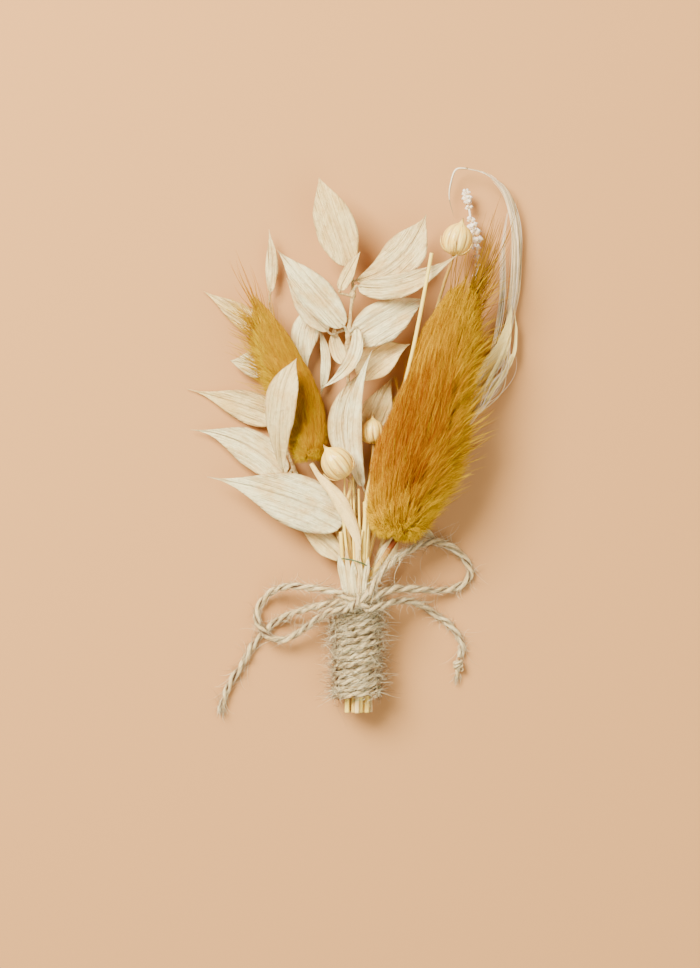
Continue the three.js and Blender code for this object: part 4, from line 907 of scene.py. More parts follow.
def jute_paint(colours):
    """Jute: streaks of fibre along each ply, from dark brown to nearly white, and painted shade in dark
    brown where the plies meet and on the faces that turn in."""
    p = Paint("jute_twine", specular=0.5)
    grain, tone = p.attribute("grain"), p.attribute("tone")
    tint, _, painted_ply_shade = p.parts(tone)
    fibres = p.streaks(grain, (2.2, 2.2, 0.4), 4.0, 0.7)
    fine = p.streaks(grain, (5.5, 5.5, 0.7), 3.0, 0.6)
    tones = p.streaks(grain, (0.9, 0.9, 0.3))
    colour = p.mixed(fibres.within(0.3, 0.52), colours.jute_dark, colours.jute)
    colour = p.mixed(fine.within(0.48, 0.62) * 0.7, colour, colours.jute_pale)
    colour = p.mixed(tones.within(0.42, 0.66) * 0.6 + tint * 0.2, colour, colours.jute_pale)
    # Painted shade: dark brown where the plies meet and on the faces that turn in, with the fibre streaks.
    colour = p.mixed(painted_ply_shade.within(0.12, 0.5) * (0.6 + fibres * 0.7), colour, colours.jute_dark)
    return p.finish(colour, 0.32 + 0.3 * fibres, fibres + 0.5 * fine, 0.6, 1.0)


def fibre_paint(colours):
    """The loose fibres of the twine, each with its own tint, and a few of them green."""
    p = Paint("jute_fibre", roughness=0.8, specular=0.1)
    tint, _, plain = p.parts(p.attribute("tone"))
    colour = p.mixed(tint, colours.jute_dark, colours.jute_pale)
    return p.finish(p.mixed((1 - plain).within(0.3, 0.7) * 0.8, colour, tinted(colours.wire, 4)))


def bloom_paint(colours):
    """Small papery scales: nearly white, cream at their roots, with fine lines."""
    p = Paint("heather_scale", subsurface=0.1, subsurface_scale=0.001)
    grain, tone = p.attribute("grain"), p.attribute("tone")
    tint, share, _ = p.parts(tone)
    lines = p.streaks(grain, (6, 0.8, 1))
    colour = p.mixed(share.within(0.1, 0.7), colours.leaf_warm, colours.heather)
    colour = p.mixed(lines.within(0.5, 0.8) * 0.4 + tint * 0.15, colour, colours.leaf_vein)
    return p.finish(colour, 0.6 + 0.2 * lines, lines, 0.08, 0.6)


def wire_paint(colours):
    """Green enamelled wire, worn to a duller green in places."""
    p = Paint("florist_wire", specular=0.5)
    worn = p.noise(p.node("ShaderNodeTexCoord", {}, {}, "Object"), 900.0, 3.0)
    colour = p.mixed(worn.within(0.45, 0.7), colours.wire, tinted(colours.wire, 2.2))
    return p.finish(colour, 0.35 + 0.4 * worn, worn, 0.04, 0.5)


def floor_paint(colours):
    """A plain pale matt surface."""
    p = Paint("pale_floor", roughness=0.9, specular=0.15)
    p.shader.inputs["Base Color"].default_value = (*colours.floor, 1)
    return p.material


# ---------------------------------------------------------------- finished pieces


def make_piece(name, shapes, material, nodes=()):
    """Joins lofted shapes into one object in metres, with their grain and tone as attributes, and
    ties it to the frame."""
    points, quads, triangles, grain, tone = ([shape[k] for shape in shapes] for k in range(5))
    offsets = np.concatenate([[0], np.cumsum([len(p) for p in points])[:-1]])
    quads = np.concatenate([q + o for q, o in zip(quads, offsets)])
    triangles = np.concatenate([t + o for t, o in zip(triangles, offsets)])
    points = np.concatenate(points)
    mesh = bpy.data.meshes.new(name)
    mesh.vertices.add(len(points))
    mesh.vertices.foreach_set("co", (points * MM).astype(np.float32).ravel())
    corners = np.concatenate([quads.ravel(), triangles.ravel()]).astype(np.int32)
    mesh.loops.add(len(corners))
    mesh.loops.foreach_set("vertex_index", corners)
    four, three = 4 * np.arange(len(quads)), 3 * np.arange(len(triangles))
    starts = np.concatenate([four, 4 * len(quads) + three]).astype(np.int32)
    mesh.polygons.add(len(starts))
    mesh.polygons.foreach_set("loop_start", starts)
    mesh.polygons.foreach_set("use_smooth", np.ones(len(starts), bool))
    mesh.update(calc_edges=True)
    for key, rows in (("grain", grain), ("tone", tone)):
        values = mesh.attributes.new(key, "FLOAT_VECTOR", "POINT").data
        values.foreach_set("vector", np.concatenate(rows).astype(np.float32).ravel())
    mesh.materials.append(material)
    piece = bpy.data.objects.new(name, mesh)
    bpy.context.scene.collection.objects.link(piece)
    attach(piece, "root")
    if nodes:
        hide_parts(*nodes)
    return piece


def srgb(red, green, blue):
    """A colour of 0 to 255 as the linear numbers that the shaders use."""
    c = np.array([red, green, blue]) / 255
    return tuple(float(x) for x in np.where(c <= 0.04045, c / 12.92, ((c + 0.055) / 1.055) ** 2.4))


def size_property(name, description, default):
    """A length in metres."""
    return bpy.props.FloatProperty(
        name=name, description=description, default=default, min=0.00001, max=0.01,
        subtype="DISTANCE", unit="LENGTH", precision=5)


def colour_property(name, description, *rgb):
    """A colour, given as its red, green and blue from 0 to 255."""
    return bpy.props.FloatVectorProperty(
        name=name, description=description, default=srgb(*rgb), size=3, min=0, max=1, subtype="COLOR")


class BoutonniereSizes(bpy.types.PropertyGroup):
    """Sizes that a user would change."""

    leaf_thickness: size_property("Leaf thickness", "Thickness of a ruscus leaf at its midrib", 0.00024)
    hair_radius: size_property("Hair radius", "Radius of a bunny-tail hair at its root", 0.00007)
    twine_radius: size_property("Twine radius", "Radius of the two-ply jute twine", 0.00094)
    fibre_length: size_property("Loose fibres", "Length of the twine's longest loose fibres", 0.0042)
    wire_radius: size_property("Wire radius", "Radius of the green binding wire", 0.00016)
    left_tufts: bpy.props.IntProperty(
        name="Small tail tufts", description="Tufts of hair on each half of the small bunny tail",
        default=190, min=20, max=240)
    right_tufts: bpy.props.IntProperty(
        name="Large tail tufts", description="Tufts of hair on each quarter of the large bunny tail",
        default=230, min=20, max=240)


class BoutonniereColours(bpy.types.PropertyGroup):
    """Colours that a user would change."""

    leaf: colour_property("Leaf", "Bleached ruscus", 252, 216, 134)
    leaf_white: colour_property("White leaf", "The most bleached ruscus leaves", 255, 240, 178)
    leaf_warm: colour_property("Warm patches", "Patches on the ruscus leaves", 232, 186, 98)
    # Veins is also the colour of the midrib's painted crease shade.
    leaf_vein: colour_property("Veins", "Veins of the ruscus leaves", 160, 112, 54)
    leaf_dry: colour_property("Dry edges", "Edges and tips of the ruscus leaves", 170, 118, 48)
    stem: colour_property("Stem", "Stems of the ruscus", 242, 200, 118)
    straw: colour_property("Straw", "The straws", 255, 222, 104)
    pod: colour_property("Flax pod", "Skin of the flax pods", 255, 208, 84)
    pod_pale: colour_property("Pale pod", "Pale flecks on the flax pods", 255, 234, 138)
    pod_seam: colour_property("Pod seams", "Seams of the flax pods", 164, 106, 26)
    heather: colour_property("Heather", "Scales of the heather sprig", 252, 238, 212)
    grass: colour_property("Feather grass", "Bristles of the feather grass", 255, 226, 160)
    husk: colour_property("Husks", "Blades of the feather grass", 252, 226, 140)
    mustard: colour_property("Mustard", "The small bunny tail", 196, 146, 0)
    # Deep mustard is the darkest dye, and made darker it is the painted shade at the hairs' roots.
    mustard_deep: colour_property("Deep mustard", "Roots of the small bunny tail", 196, 126, 0)
    mustard_pale: colour_property("Pale mustard", "Open side of the small bunny tail", 204, 172, 0)
    ochre: colour_property("Ochre", "Middle of the large bunny tail", 158, 80, 0)
    # Deep ochre is the painted shade at the roots of the large tail's hairs, and the dyed end of its stem.
    ochre_deep: colour_property("Deep ochre", "Roots of the large bunny tail", 118, 50, 0)
    ochre_gold: colour_property("Golden ochre", "Base of the large bunny tail", 202, 144, 0)
    ochre_pale: colour_property("Pale ochre", "Open side of the large bunny tail", 232, 186, 0)
    jute: colour_property("Jute", "The twine", 255, 212, 126)
    jute_pale: colour_property("Pale jute", "Pale fibres of the twine", 255, 240, 186)
    # Dark jute is also the painted shade where the plies meet.
    jute_dark: colour_property("Dark jute", "Dark fibres of the twine", 92, 48, 18)
    wire: colour_property("Wire", "Enamel of the binding wire", 48, 74, 44)
    floor: colour_property("Floor", "The surface it lies on", 190, 138, 82)


class PieceMaker:
    """What the operators share: the sizes in millimetres and the colours."""

    bl_options = {"REGISTER", "UNDO"}
    LENGTHS = ("leaf_thickness", "hair_radius", "twine_radius", "fibre_length", "wire_radius")

    def execute(self, context):
        sizes = context.scene.boutonniere_sizes
        self.colours = context.scene.boutonniere_colours
        for key in self.LENGTHS:
            setattr(self, key, getattr(sizes, key) / MM)
        self.left_tufts, self.right_tufts = sizes.left_tufts, sizes.right_tufts
        self.make()
        return {"FINISHED"}


# ---------------------------------------------------------------- operators

PHOTO_MIDDLE = (-1.25, -11.0)  # the point under the camera
PHOTO_HEIGHT = 242.0  # what the frame shows of the plane in focus, from top to bottom
CAMERA_DISTANCE = 560.0  # from that plane
PLANE_HEIGHT = 8.0  # about half way up the boutonniere
SENSOR_HEIGHT = 24.0
FLOOR_HALF = 1.5  # in metres, as the lights' places are
FLOOR_HEIGHT = -0.0001
# Each light's place, the length of its side, its power and its colour.
LIGHTS = {
    "key_light": ((-0.4, 0.42, 0.64), 0.46, 31.0, (1.0, 0.97, 0.92)),
    "fill_light": ((0.4, -0.3, 0.75), 0.8, 7.0, (1.0, 0.98, 0.95)),
}
WORLD_COLOUR = (1.0, 0.985, 0.965, 1)
WORLD_STRENGTH = 0.42


class BOUTONNIERE_OT_stage(PieceMaker, bpy.types.Operator):
    """Adds the camera, which looks straight down, the floor and the studio light"""

    bl_idname = "boutonniere.stage"
    bl_label = "Stage"

    def make(self):
        camera = bpy.data.objects.new("camera", bpy.data.cameras.new("camera"))
        camera.data.sensor_fit = "VERTICAL"
        camera.data.sensor_height = SENSOR_HEIGHT
        camera.data.lens = SENSOR_HEIGHT * CAMERA_DISTANCE / PHOTO_HEIGHT
        camera.data.clip_start, camera.data.clip_end = 0.01, 20
        camera.location = [c * MM for c in (*PHOTO_MIDDLE, CAMERA_DISTANCE + PLANE_HEIGHT)]
        scene = bpy.context.scene
        scene.collection.objects.link(camera)
        scene.camera = camera

        mesh = bpy.data.meshes.new("floor")
        corners = [(x * FLOOR_HALF, y * FLOOR_HALF, FLOOR_HEIGHT) for x, y in (
            (-1, -1), (1, -1), (1, 1), (-1, 1))]
        mesh.from_pydata(corners, [], [(0, 1, 2, 3)])
        floor = bpy.data.objects.new("floor", mesh)
        floor.data.materials.append(floor_paint(self.colours))
        scene.collection.objects.link(floor)

        for name, settings in LIGHTS.items():
            self.light(name, *settings)
        world = bpy.data.worlds.new("studio")
        world.use_nodes = True
        background = world.node_tree.nodes["Background"]
        background.inputs["Color"].default_value = WORLD_COLOUR
        background.inputs["Strength"].default_value = WORLD_STRENGTH
        scene.world = world

    def light(self, name, place, size, power, colour):
        """A square soft light that faces the middle of the boutonniere."""
        lamp = bpy.data.lights.new(name, "AREA")
        lamp.size, lamp.energy, lamp.color = size, power, colour
        light = bpy.data.objects.new(name, lamp)
        light.location = place
        light.rotation_euler = (-Vector(place)).to_track_quat("-Z", "Y").to_euler()
        bpy.context.scene.collection.objects.link(light)


class BOUTONNIERE_OT_bow(PieceMaker, bpy.types.Operator):
    """Ties the bow: two loops and two tails of free twine, its knot, and the knot on the right tail"""

    bl_idname = "boutonniere.bow"
    bl_label = "Bow"

    def make(self):
        rng = np.random.default_rng(31)
        jute, fibre = jute_paint(self.colours), fibre_paint(self.colours)
        r = self.twine_radius
        loose = []

        # Each group of strands, how thick they are, their loose fibres a millimetre, and their twist.
        groups = (
            (KNOT_STRANDS, 0.86, 9, 0, dict(lay=5.2, loose=0.05)),
            (KNOT_ENDS, 1.02, 14, 40, dict(loose=0.1)))
        shapes = []
        for lines, thick, per_mm, start, twist in groups:
            for k, points in enumerate(lines):
                path = smooth_curve(KNOT + np.array(points), 40)
                shapes += twine(path, thick * r, rng, start=start + 11 * k, **twist)
                loose.append(fuzz(path, r, rng, per_mm, 0.6 * self.fibre_length))
        make_piece("bow_knot_twine", shapes, jute, ["bow_knot"])

        shapes = self.end_knot(r, rng)
        loose.append(self.brush(TAIL_KNOT + (-0.3, -2.2, -0.6), (-0.2, -1, -0.05), 46, 3.2, rng))
        end_knot = make_piece("bow_tail_knot_twine", shapes, jute, ["bow_tail_knot"])

        cords = (
            ("bow_loop_left", BOW_LOOP_LEFT, "object"),
            ("bow_loop_right", BOW_LOOP_RIGHT, "object"),
            ("bow_tail_left", BOW_TAIL_LEFT, "bare"),
            ("bow_tail_right", BOW_TAIL_RIGHT, "knot"),
        )
        for k, (node, points, far_end) in enumerate(cords):
            path = smooth_curve(points, 260)
            piece = make_piece(node + "_twine", twine(path, r, rng, start=20 * k), jute, [node])
            loose.append(fuzz(path, r, rng, 16, self.fibre_length))
            if node == "bow_loop_right":
                loose.append(fuzz(path[12:100], r, rng, 5, 2.6 * self.fibre_length, 0.045))
        tail = smooth_curve(BOW_TAIL_LEFT, 60)
        loose.append(self.brush(tail[-3], tail[-1] - tail[-3], 60, 3.6, rng))
        make_piece("bow_fibres", loose, fibre)

    def end_knot(self, radius, rng):
        """An overhand knot as one tight coil of twine round the tail's end, and the stub below it."""
        turn = np.linspace(0, 4.2 * np.pi, 90)
        coil = joined(0.85 * np.cos(turn), 1.1 - 2.1 * turn / turn[-1], 0.75 * np.sin(turn))
        stub = np.array([(0.2, 1.5, 0), (0, 0, 0), (-0.2, -1.8, -0.3), (-0.4, -2.9, -0.75)])
        stub = smooth_curve(TAIL_KNOT + stub, 30)
        core = smooth_curve(TAIL_KNOT + np.array([(0.1, 1.2, 0), (0, 0, 0), (-0.1, -1.2, 0)]), 20)
        core = tube(core, 0.8 * np.sqrt(1.02 - np.linspace(-1, 1, len(core)) ** 2), 12, tint=0.2)
        coil = twine(TAIL_KNOT + coil, 0.62 * radius, rng, lay=4)
        return coil + twine(stub, 0.75 * radius, rng, lay=5) + [core]

    def brush(self, start, along, count, longest, rng):
        """Frayed fibres that spread from a cut end."""
        root = lifted(start + rng.normal(0, 0.35, (count, 3)) * (1, 1, 0.6), 0.3)
        way = unit(np.asarray(along) + rng.normal(0, 0.28, (count, 3)) * np.linalg.norm(along))
        reach = longest * (0.4 + 0.6 * rng.random((count, 1)))
        control = root + 0.5 * reach * way + rng.normal(0, 0.25, (count, 3))
        return strands(root, control, root + reach * way, 0.05, (rng.random(count), 1.0), steps=5)


WIND_HAIRS = 3200  # fibres that stand out of the winding
WIND_LYING = 1300  # and fibres that lie over its turns


class BOUTONNIERE_OT_winding(PieceMaker, bpy.types.Operator):
    """Winds the twine closely round the stems, with its loose fibres"""

    bl_idname = "boutonniere.winding"
    bl_label = "Twine winding"

    def make(self):
        rng = np.random.default_rng(47)
        r = self.twine_radius
        jute = jute_paint(self.colours)
        shapes = [*self.plies(self.helix(rng, WIND_RADIUS, 1.0), r, rng), *self.lower_layer(r, rng)]
        make_piece("winding_twine", shapes, jute, ["twine_winding"])
        fibre = fibre_paint(self.colours)
        make_piece("winding_fuzz", [self.hairs(self.helix(rng, WIND_RADIUS, 0), r, rng)], fibre)
        make_piece("winding_fibres", [self.lying(r, rng)], fibre)

    def helix(self, rng, radius, uneven):
        """x = -r cos a, z = r sin a and y rising by the pitch in each turn, to the right in front. Away
        from the ends the turns lie aslant, higher by the slant times x, and on top a little unevenly."""
        turn = np.linspace(0, WIND_TURNS, 64 * WIND_TURNS)
        angle = 2 * np.pi * turn - 0.46 * np.pi
        high = uneven * np.clip(np.sin(angle), 0, 1)
        away = radius + 0.14 * high * wander(rng, len(turn), 37)
        y = WIND_BOTTOM + WIND_PITCH * turn + 0.3 * high * wander(rng, len(turn), 29)
        inward = np.clip(np.minimum(turn, WIND_TURNS - turn) / 3, 0, 1)
        y = y - WIND_SLANT * away * np.cos(angle) * inward * (2 - inward)
        return joined(BUNDLE_X - away * np.cos(angle), y, BUNDLE_Z + away * np.sin(angle))

    def lower_layer(self, radius, rng):
        """The first layer of twine, between the stems and the turns, seen where they part."""
        path = self.helix(rng, WIND_RADIUS - 0.62, 0)
        path[:, 1] += WIND_PITCH / 2
        return self.plies(path[: -len(path) // WIND_TURNS], 0.7 * radius, rng)

    def outwards(self, points):
        """The way from the middle of the bundle to each point."""
        return unit((points - (BUNDLE_X, 0, BUNDLE_Z)) * (1, 0, 1))

    def plies(self, path, radius, rng):
        """The two plies, with across along the bundle and up away from its middle. The last number of
        their tone is painted shade: how deep a point lies between the plies and the turns, darker there."""
        along, out = unit(np.gradient(path, axis=0)), self.outwards(path)
        across = np.cross(along, out)
        length = lengths_along(path)
        shapes = []
        for ply in (0, 1):
            a = 2 * np.pi * (length / WIND_LAY + ply / 2) + 0.4 * wander(rng, len(path), 41)
            middle = path + PLY_APART * radius * ring(a[:, None], across, out)
            thick = (radius * (PLY_RADIUS + 0.09 * wander(rng, len(path), 13)))[:, None, None]
            b = round_angles(PLY_SIDES)[None, :]
            rings = middle[:, None] + thick * ring(b[..., None], out[:, None], across[:, None])
            turned = b - 1.1 * length[:, None]
            grain = joined(np.cos(turned), np.sin(turned), length[:, None] + 70 * ply)
            # Painted shade: highest on each ply's inner face, and more where the ply turns in under the
            # other.
            painted_ply_shade = 0.5 - 0.5 * np.cos(b) + 0.12 * (1 - np.sin(a)[:, None])
            shapes.append(skin(lifted(rings, 0.01), grain, joined(0.2 + 0.5 * ply, 0, painted_ply_shade)))
        return shapes

    def hairs(self, path, radius, rng):
        """Curled fibres that stand out of the winding, mostly along the turns, more of them at its sides:
        each runs out and bends by 0.4 sin(2 pi s f) to its side."""
        k = rng.integers(4, len(path) - 4, 4 * WIND_HAIRS)
        flank = np.abs(path[k, 0] - BUNDLE_X) / WIND_RADIUS
        k = k[rng.random(len(k)) < 0.2 + 0.8 * flank**3][:WIND_HAIRS]
        count = len(k)
        along = unit(path[k + 2] - path[k - 2]) * rng.choice([-1, 1], count)[:, None]
        out = self.outwards(path[k])
        reach = (0.6 + 1.2 * self.fibre_length * rng.random(count) ** 1.9)[:, None, None]
        way = unit(0.6 * along + 0.4 * out + rng.normal(0, 0.4, (count, 3)))[:, None]
        side = unit(rng.normal(0, 1, (count, 3)))[:, None]
        s = np.linspace(0, 1, 6)[None, :, None]
        turns, start = 0.5 + 0.7 * rng.random((2, count, 1, 1))
        curl = 0.4 * (np.sin(2 * np.pi * (s * turns + start)) - np.sin(2 * np.pi * start))
        centre = (path[k] + 0.7 * radius * out)[:, None] + reach * (s * way + s * curl * side)
        thick = 0.04 + 0.025 * rng.random(count)
        return hair_skins(lifted(centre, HAIR_REST), thick, (rng.random(count) ** 1.6, 1.0))

    def lying(self, radius, rng):
        """Fibres that lie over the turns: round the bundle by an angle, and a little up or down it."""
        count, rows = WIND_LYING, 7
        s = np.linspace(0, 1, rows)[None, :]
        first, turned = 2 * np.pi * rng.random((count, 1)), rng.normal(0, 0.42, (count, 1))
        a = first + turned * s
        low, high = WIND_BOTTOM - 0.4, WIND_BOTTOM + WIND_PITCH * WIND_TURNS
        y = low + (high - low) * rng.random((count, 1))
        y = y - turned * s * rng.normal(2.4, 1.3, (count, 1)) + rng.normal(0, 0.15, (count, rows))
        bow = (0.1 + 0.6 * rng.random((count, 1)) ** 3) * np.sin(np.pi * s)
        away = WIND_RADIUS + 0.86 * radius + bow
        centre = joined(BUNDLE_X + away * np.cos(a), y, BUNDLE_Z + away * np.sin(a))
        tint, plain = rng.random(count) ** 0.8, rng.random(count) > 0.03
        return hair_skins(lifted(centre, HAIR_REST), 0.03 + 0.05 * rng.random(count), (tint, plain))


class BOUTONNIERE_OT_ruscus(PieceMaker, bpy.types.Operator):
    """Grows the four branches of bleached ruscus"""

    bl_idname = "boutonniere.ruscus"
    bl_label = "Ruscus"

    def make(self):
        paint = leaf_paint(self.colours)
        branches = (
            ("ruscus_centre", CENTRE_STEM, CENTRE_LEAVES, 5),
            ("ruscus_left", LEFT_STEM, LEFT_LEAVES, 6),
            ("ruscus_back", BACK_STEM, BACK_LEAVES, 7),
            ("ruscus_right", RIGHT_STEM, RIGHT_LEAVES, 8),
        )
        for node, stem, leaves, seed in branches:
            shapes = branch(stem, leaves, self.leaf_thickness, seed)
            if node == "ruscus_centre":
                rng = np.random.default_rng(9)
                for sheath in SHEATHS:
                    shapes += leaf(sheath, self.leaf_thickness, rng)
            make_piece(node + "_leaves", shapes, paint, [node])


class BOUTONNIERE_OT_flax(PieceMaker, bpy.types.Operator):
    """Grows the three flax pods on their stems"""

    bl_idname = "boutonniere.flax"
    bl_label = "Flax"

    # From the foot of a pod to the end of its beak: shares of its radius, out and along its axis.
    PROFILE = [
        (0.05, -1.03), (0.3, -1.0), (0.56, -0.88), (0.8, -0.65), (0.95, -0.34), (1.0, 0.0), (0.96, 0.32),
        (0.83, 0.62), (0.62, 0.86), (0.38, 1.02), (0.2, 1.13), (0.1, 1.28), (0.05, 1.45), (0.02, 1.5)]
    LOBES = 10
    SEPALS = 5
    # Each sepal from its foot to its tip: shares of the pod's radius, out and along its axis.
    SEPAL = ((0.1, -1.0), (0.72, -0.82), (1.05, -0.42), (1.12, 0.02))

    def make(self):
        paint = pod_paint(self.colours)
        for k, (node, flax) in enumerate(FLAX.items()):
            rng = np.random.default_rng(60 + k)
            make_piece(node + "_pod", self.pod(flax, rng), paint, [node])

    def pod(self, flax, rng):
        """A ball of ten low lobes drawn to a beak, out x (1 - 0.07 (1 - |cos 5a|^0.7)) where it is wide,
        five sepals round its foot, and its stem."""
        centre, r = np.array(flax["centre"]), flax["radius"]
        axis = unit(np.array(flax["beak"]) - centre)
        across = unit(np.cross(UP, axis))
        up = np.cross(axis, across)
        profile = smooth_curve([(0, *pair) for pair in self.PROFILE], 56)[:, 1:] * r
        a = round_angles(80)[None, :]
        seam = 1 - np.abs(np.cos(self.LOBES * a / 2)) ** 0.7
        body = np.clip(profile[:, :1] / r * 1.4 - 0.4, 0, 1)
        out = profile[:, :1] * (1 - 0.07 * seam * body)
        rings = centre + out[..., None] * ring(a[..., None], across, up) + profile[:, None, 1:] * axis
        height = np.linspace(0, 1, len(profile))[:, None]
        grain = joined(np.cos(a), np.sin(a), 2 * height) * 1.5
        shapes = [skin(rings, grain, joined(0.5, height, seam * body))]

        for k in range(self.SEPALS):
            ray = ring(2 * np.pi * (k + 0.2 * rng.random()) / self.SEPALS, across, up)
            sepal = smooth_curve([centre + r * (x * ray + y * axis) for x, y in self.SEPAL], 16)
            shapes.append(self.sepal(sepal, np.cross(axis, ray), ray, 0.2 * r, rng))
        seat, below = centre - 0.95 * r * axis, centre - 1.5 * r * axis
        stem = smooth_curve(stem_path(flax["place"], [*flax["fan"], below, seat]), 150)
        shapes.append(tube(stem, np.linspace(STEM_RADIUS, 0.42, len(stem)), 10, tint=0.4))
        return shapes

    def sepal(self, centres, side, out, half, rng):
        """A pointed blade that hugs the pod: half its width is sin(pi t^0.7)."""
        t = np.linspace(0, 1, len(centres))[:, None]
        width = LEAF_POINT + (half - LEAF_POINT) * np.sin(np.pi * t**0.7)
        v = np.linspace(-1, 1, 7)[None, :]
        along = unit(np.gradient(centres, axis=0))
        normal = unit(out - np.sum(out * along, axis=1, keepdims=True) * along)[:, None]
        middle = centres[:, None] + (v * width)[..., None] * side
        middle = middle - (0.25 * v**2 * width)[..., None] * normal
        grain = joined(v * width, 6 * t, rng.random() * 9)
        return blade_skin(middle[:, ::-1], 0.07 * normal, grain[:, ::-1], (0.3, 0.4, 0.5))


class BOUTONNIERE_OT_straw(PieceMaker, bpy.types.Operator):
    """Lays the long straw, the short one, and the thin cut straws beside it"""

    bl_idname = "boutonniere.straw"
    bl_label = "Straws"

    def make(self):
        rng = np.random.default_rng(59)
        straw = stem_paint("straw", self.colours.straw, tinted(self.colours.straw, 0.6), 0.36)
        for node, points, thick in (("straw_long", STRAW_LONG, 0.44), ("straw_short", STRAW_SHORT, 0.5)):
            radius = np.linspace(0.62, thick, 200) + 0.02 * wander(rng, 200, 9)
            shapes = [tube(smooth_curve(points, 200), radius, 12)]
            if node == "straw_short":
                shapes += [self.cut_straw(*ends, rng) for ends in CUT_STRAWS]
            make_piece(node + "_stalk", shapes, straw, [node])

    def cut_straw(self, foot, top, rng):
        """A thin straw from the winding to its cut end, bent a little between."""
        foot, top = np.array(foot), np.array(top)
        bend = (foot + top) / 2 + rng.normal(0, 0.35, 3) * (1, 0, 0.4)
        centres, start = smooth_curve([foot, bend, top], 40), 30 * rng.random()
        return tube(centres, np.linspace(0.34, 0.24, 40), 8, start=start)


class BOUTONNIERE_OT_heather(PieceMaker, bpy.types.Operator):
    """Grows the heather sprig: clusters of small papery bells up a thin stem"""

    bl_idname = "boutonniere.heather"
    bl_label = "Heather"

    # Each cluster: its place as a share of the stem, how many bells, and how large they are.
    CLUSTERS = ((0.84, 3, 0.8), (0.858, 3, 0.9), (0.875, 4, 1.1), (0.89, 5, 1.4), (0.905, 6, 1.6),
                (0.918, 6, 1.6), (0.93, 5, 1.5), (0.943, 4, 1.2), (0.966, 4, 0.9), (0.974, 5, 1.1),
                (0.982, 5, 1.2), (0.99, 5, 1.1), (0.998, 4, 0.8))

    def make(self):
        rng = np.random.default_rng(71)
        centres = smooth_curve(HEATHER_STEM, 260)
        along, _, _ = axes_along(centres)
        shapes = [tube(centres, np.linspace(STEM_RADIUS, 0.24, len(centres)), 10)]
        for place, bells, size in self.CLUSTERS:
            k = int(place * (len(centres) - 1))
            across = unit(np.cross(along[k], UP))
            up = np.cross(across, along[k])
            for s in range(bells):
                a = 2 * np.pi * (s + 0.6 * rng.random()) / bells
                out = np.cos(a) * across + 0.8 * np.sin(a) * up
                way = unit((0.5 + 0.7 * rng.random()) * along[k] + (0.7 + 0.5 * rng.random()) * out)
                root = centres[k] + rng.normal(0, 0.24) * along[k] + 0.1 * out
                shapes.append(self.bell(root, way, size * (0.75 + 0.5 * rng.random()), rng))
        make_piece("heather_bells", shapes, bloom_paint(self.colours), ["heather_sprig"])

    # The outline of a bell from its foot to its frilled mouth, as shares of its length: out and along.
    OUTLINE = [(0.08, 0), (0.3, 0.12), (0.42, 0.36), (0.4, 0.62), (0.3, 0.8), (0.4, 1.0), (0.3, 0.94),
               (0.12, 0.7)]

    def bell(self, root, way, size, rng):
        """A closed bell with its mouth drawn in: each ring is out (1 + frill sin 5a) round its middle, and
        the frill grows from 0.04 at its foot to 0.2."""
        across = unit(np.cross(way, (0.3, 0.2, 0.9)))
        up = np.cross(way, across)
        out, high = size * np.array(self.OUTLINE).T
        a = round_angles(14)[None, :]
        frill = 0.2 * np.sin(5 * a + 6 * rng.random()) * np.linspace(0.2, 1, len(out))[:, None]
        wide = (out[:, None] * (1 + frill))[..., None]
        rings = lifted(root + wide * ring(a[..., None], across, up) + high[:, None, None] * way, 0.02)
        share = np.linspace(0, 1, len(out))[:, None]
        grain, tone = joined(2 * np.cos(a), 2 * np.sin(a), 9 * share), joined(rng.random(), share, 0)
        return skin(rings, grain + 30 * rng.random(), tone)


BLADE_ROWS = 60
BLADE_LEAST = 0.12  # half the width of a blade at its tip
BRISTLE_ROWS = 48
BRISTLE_REST = 0.2  # the lowest that the middle of a bristle lies over the surface


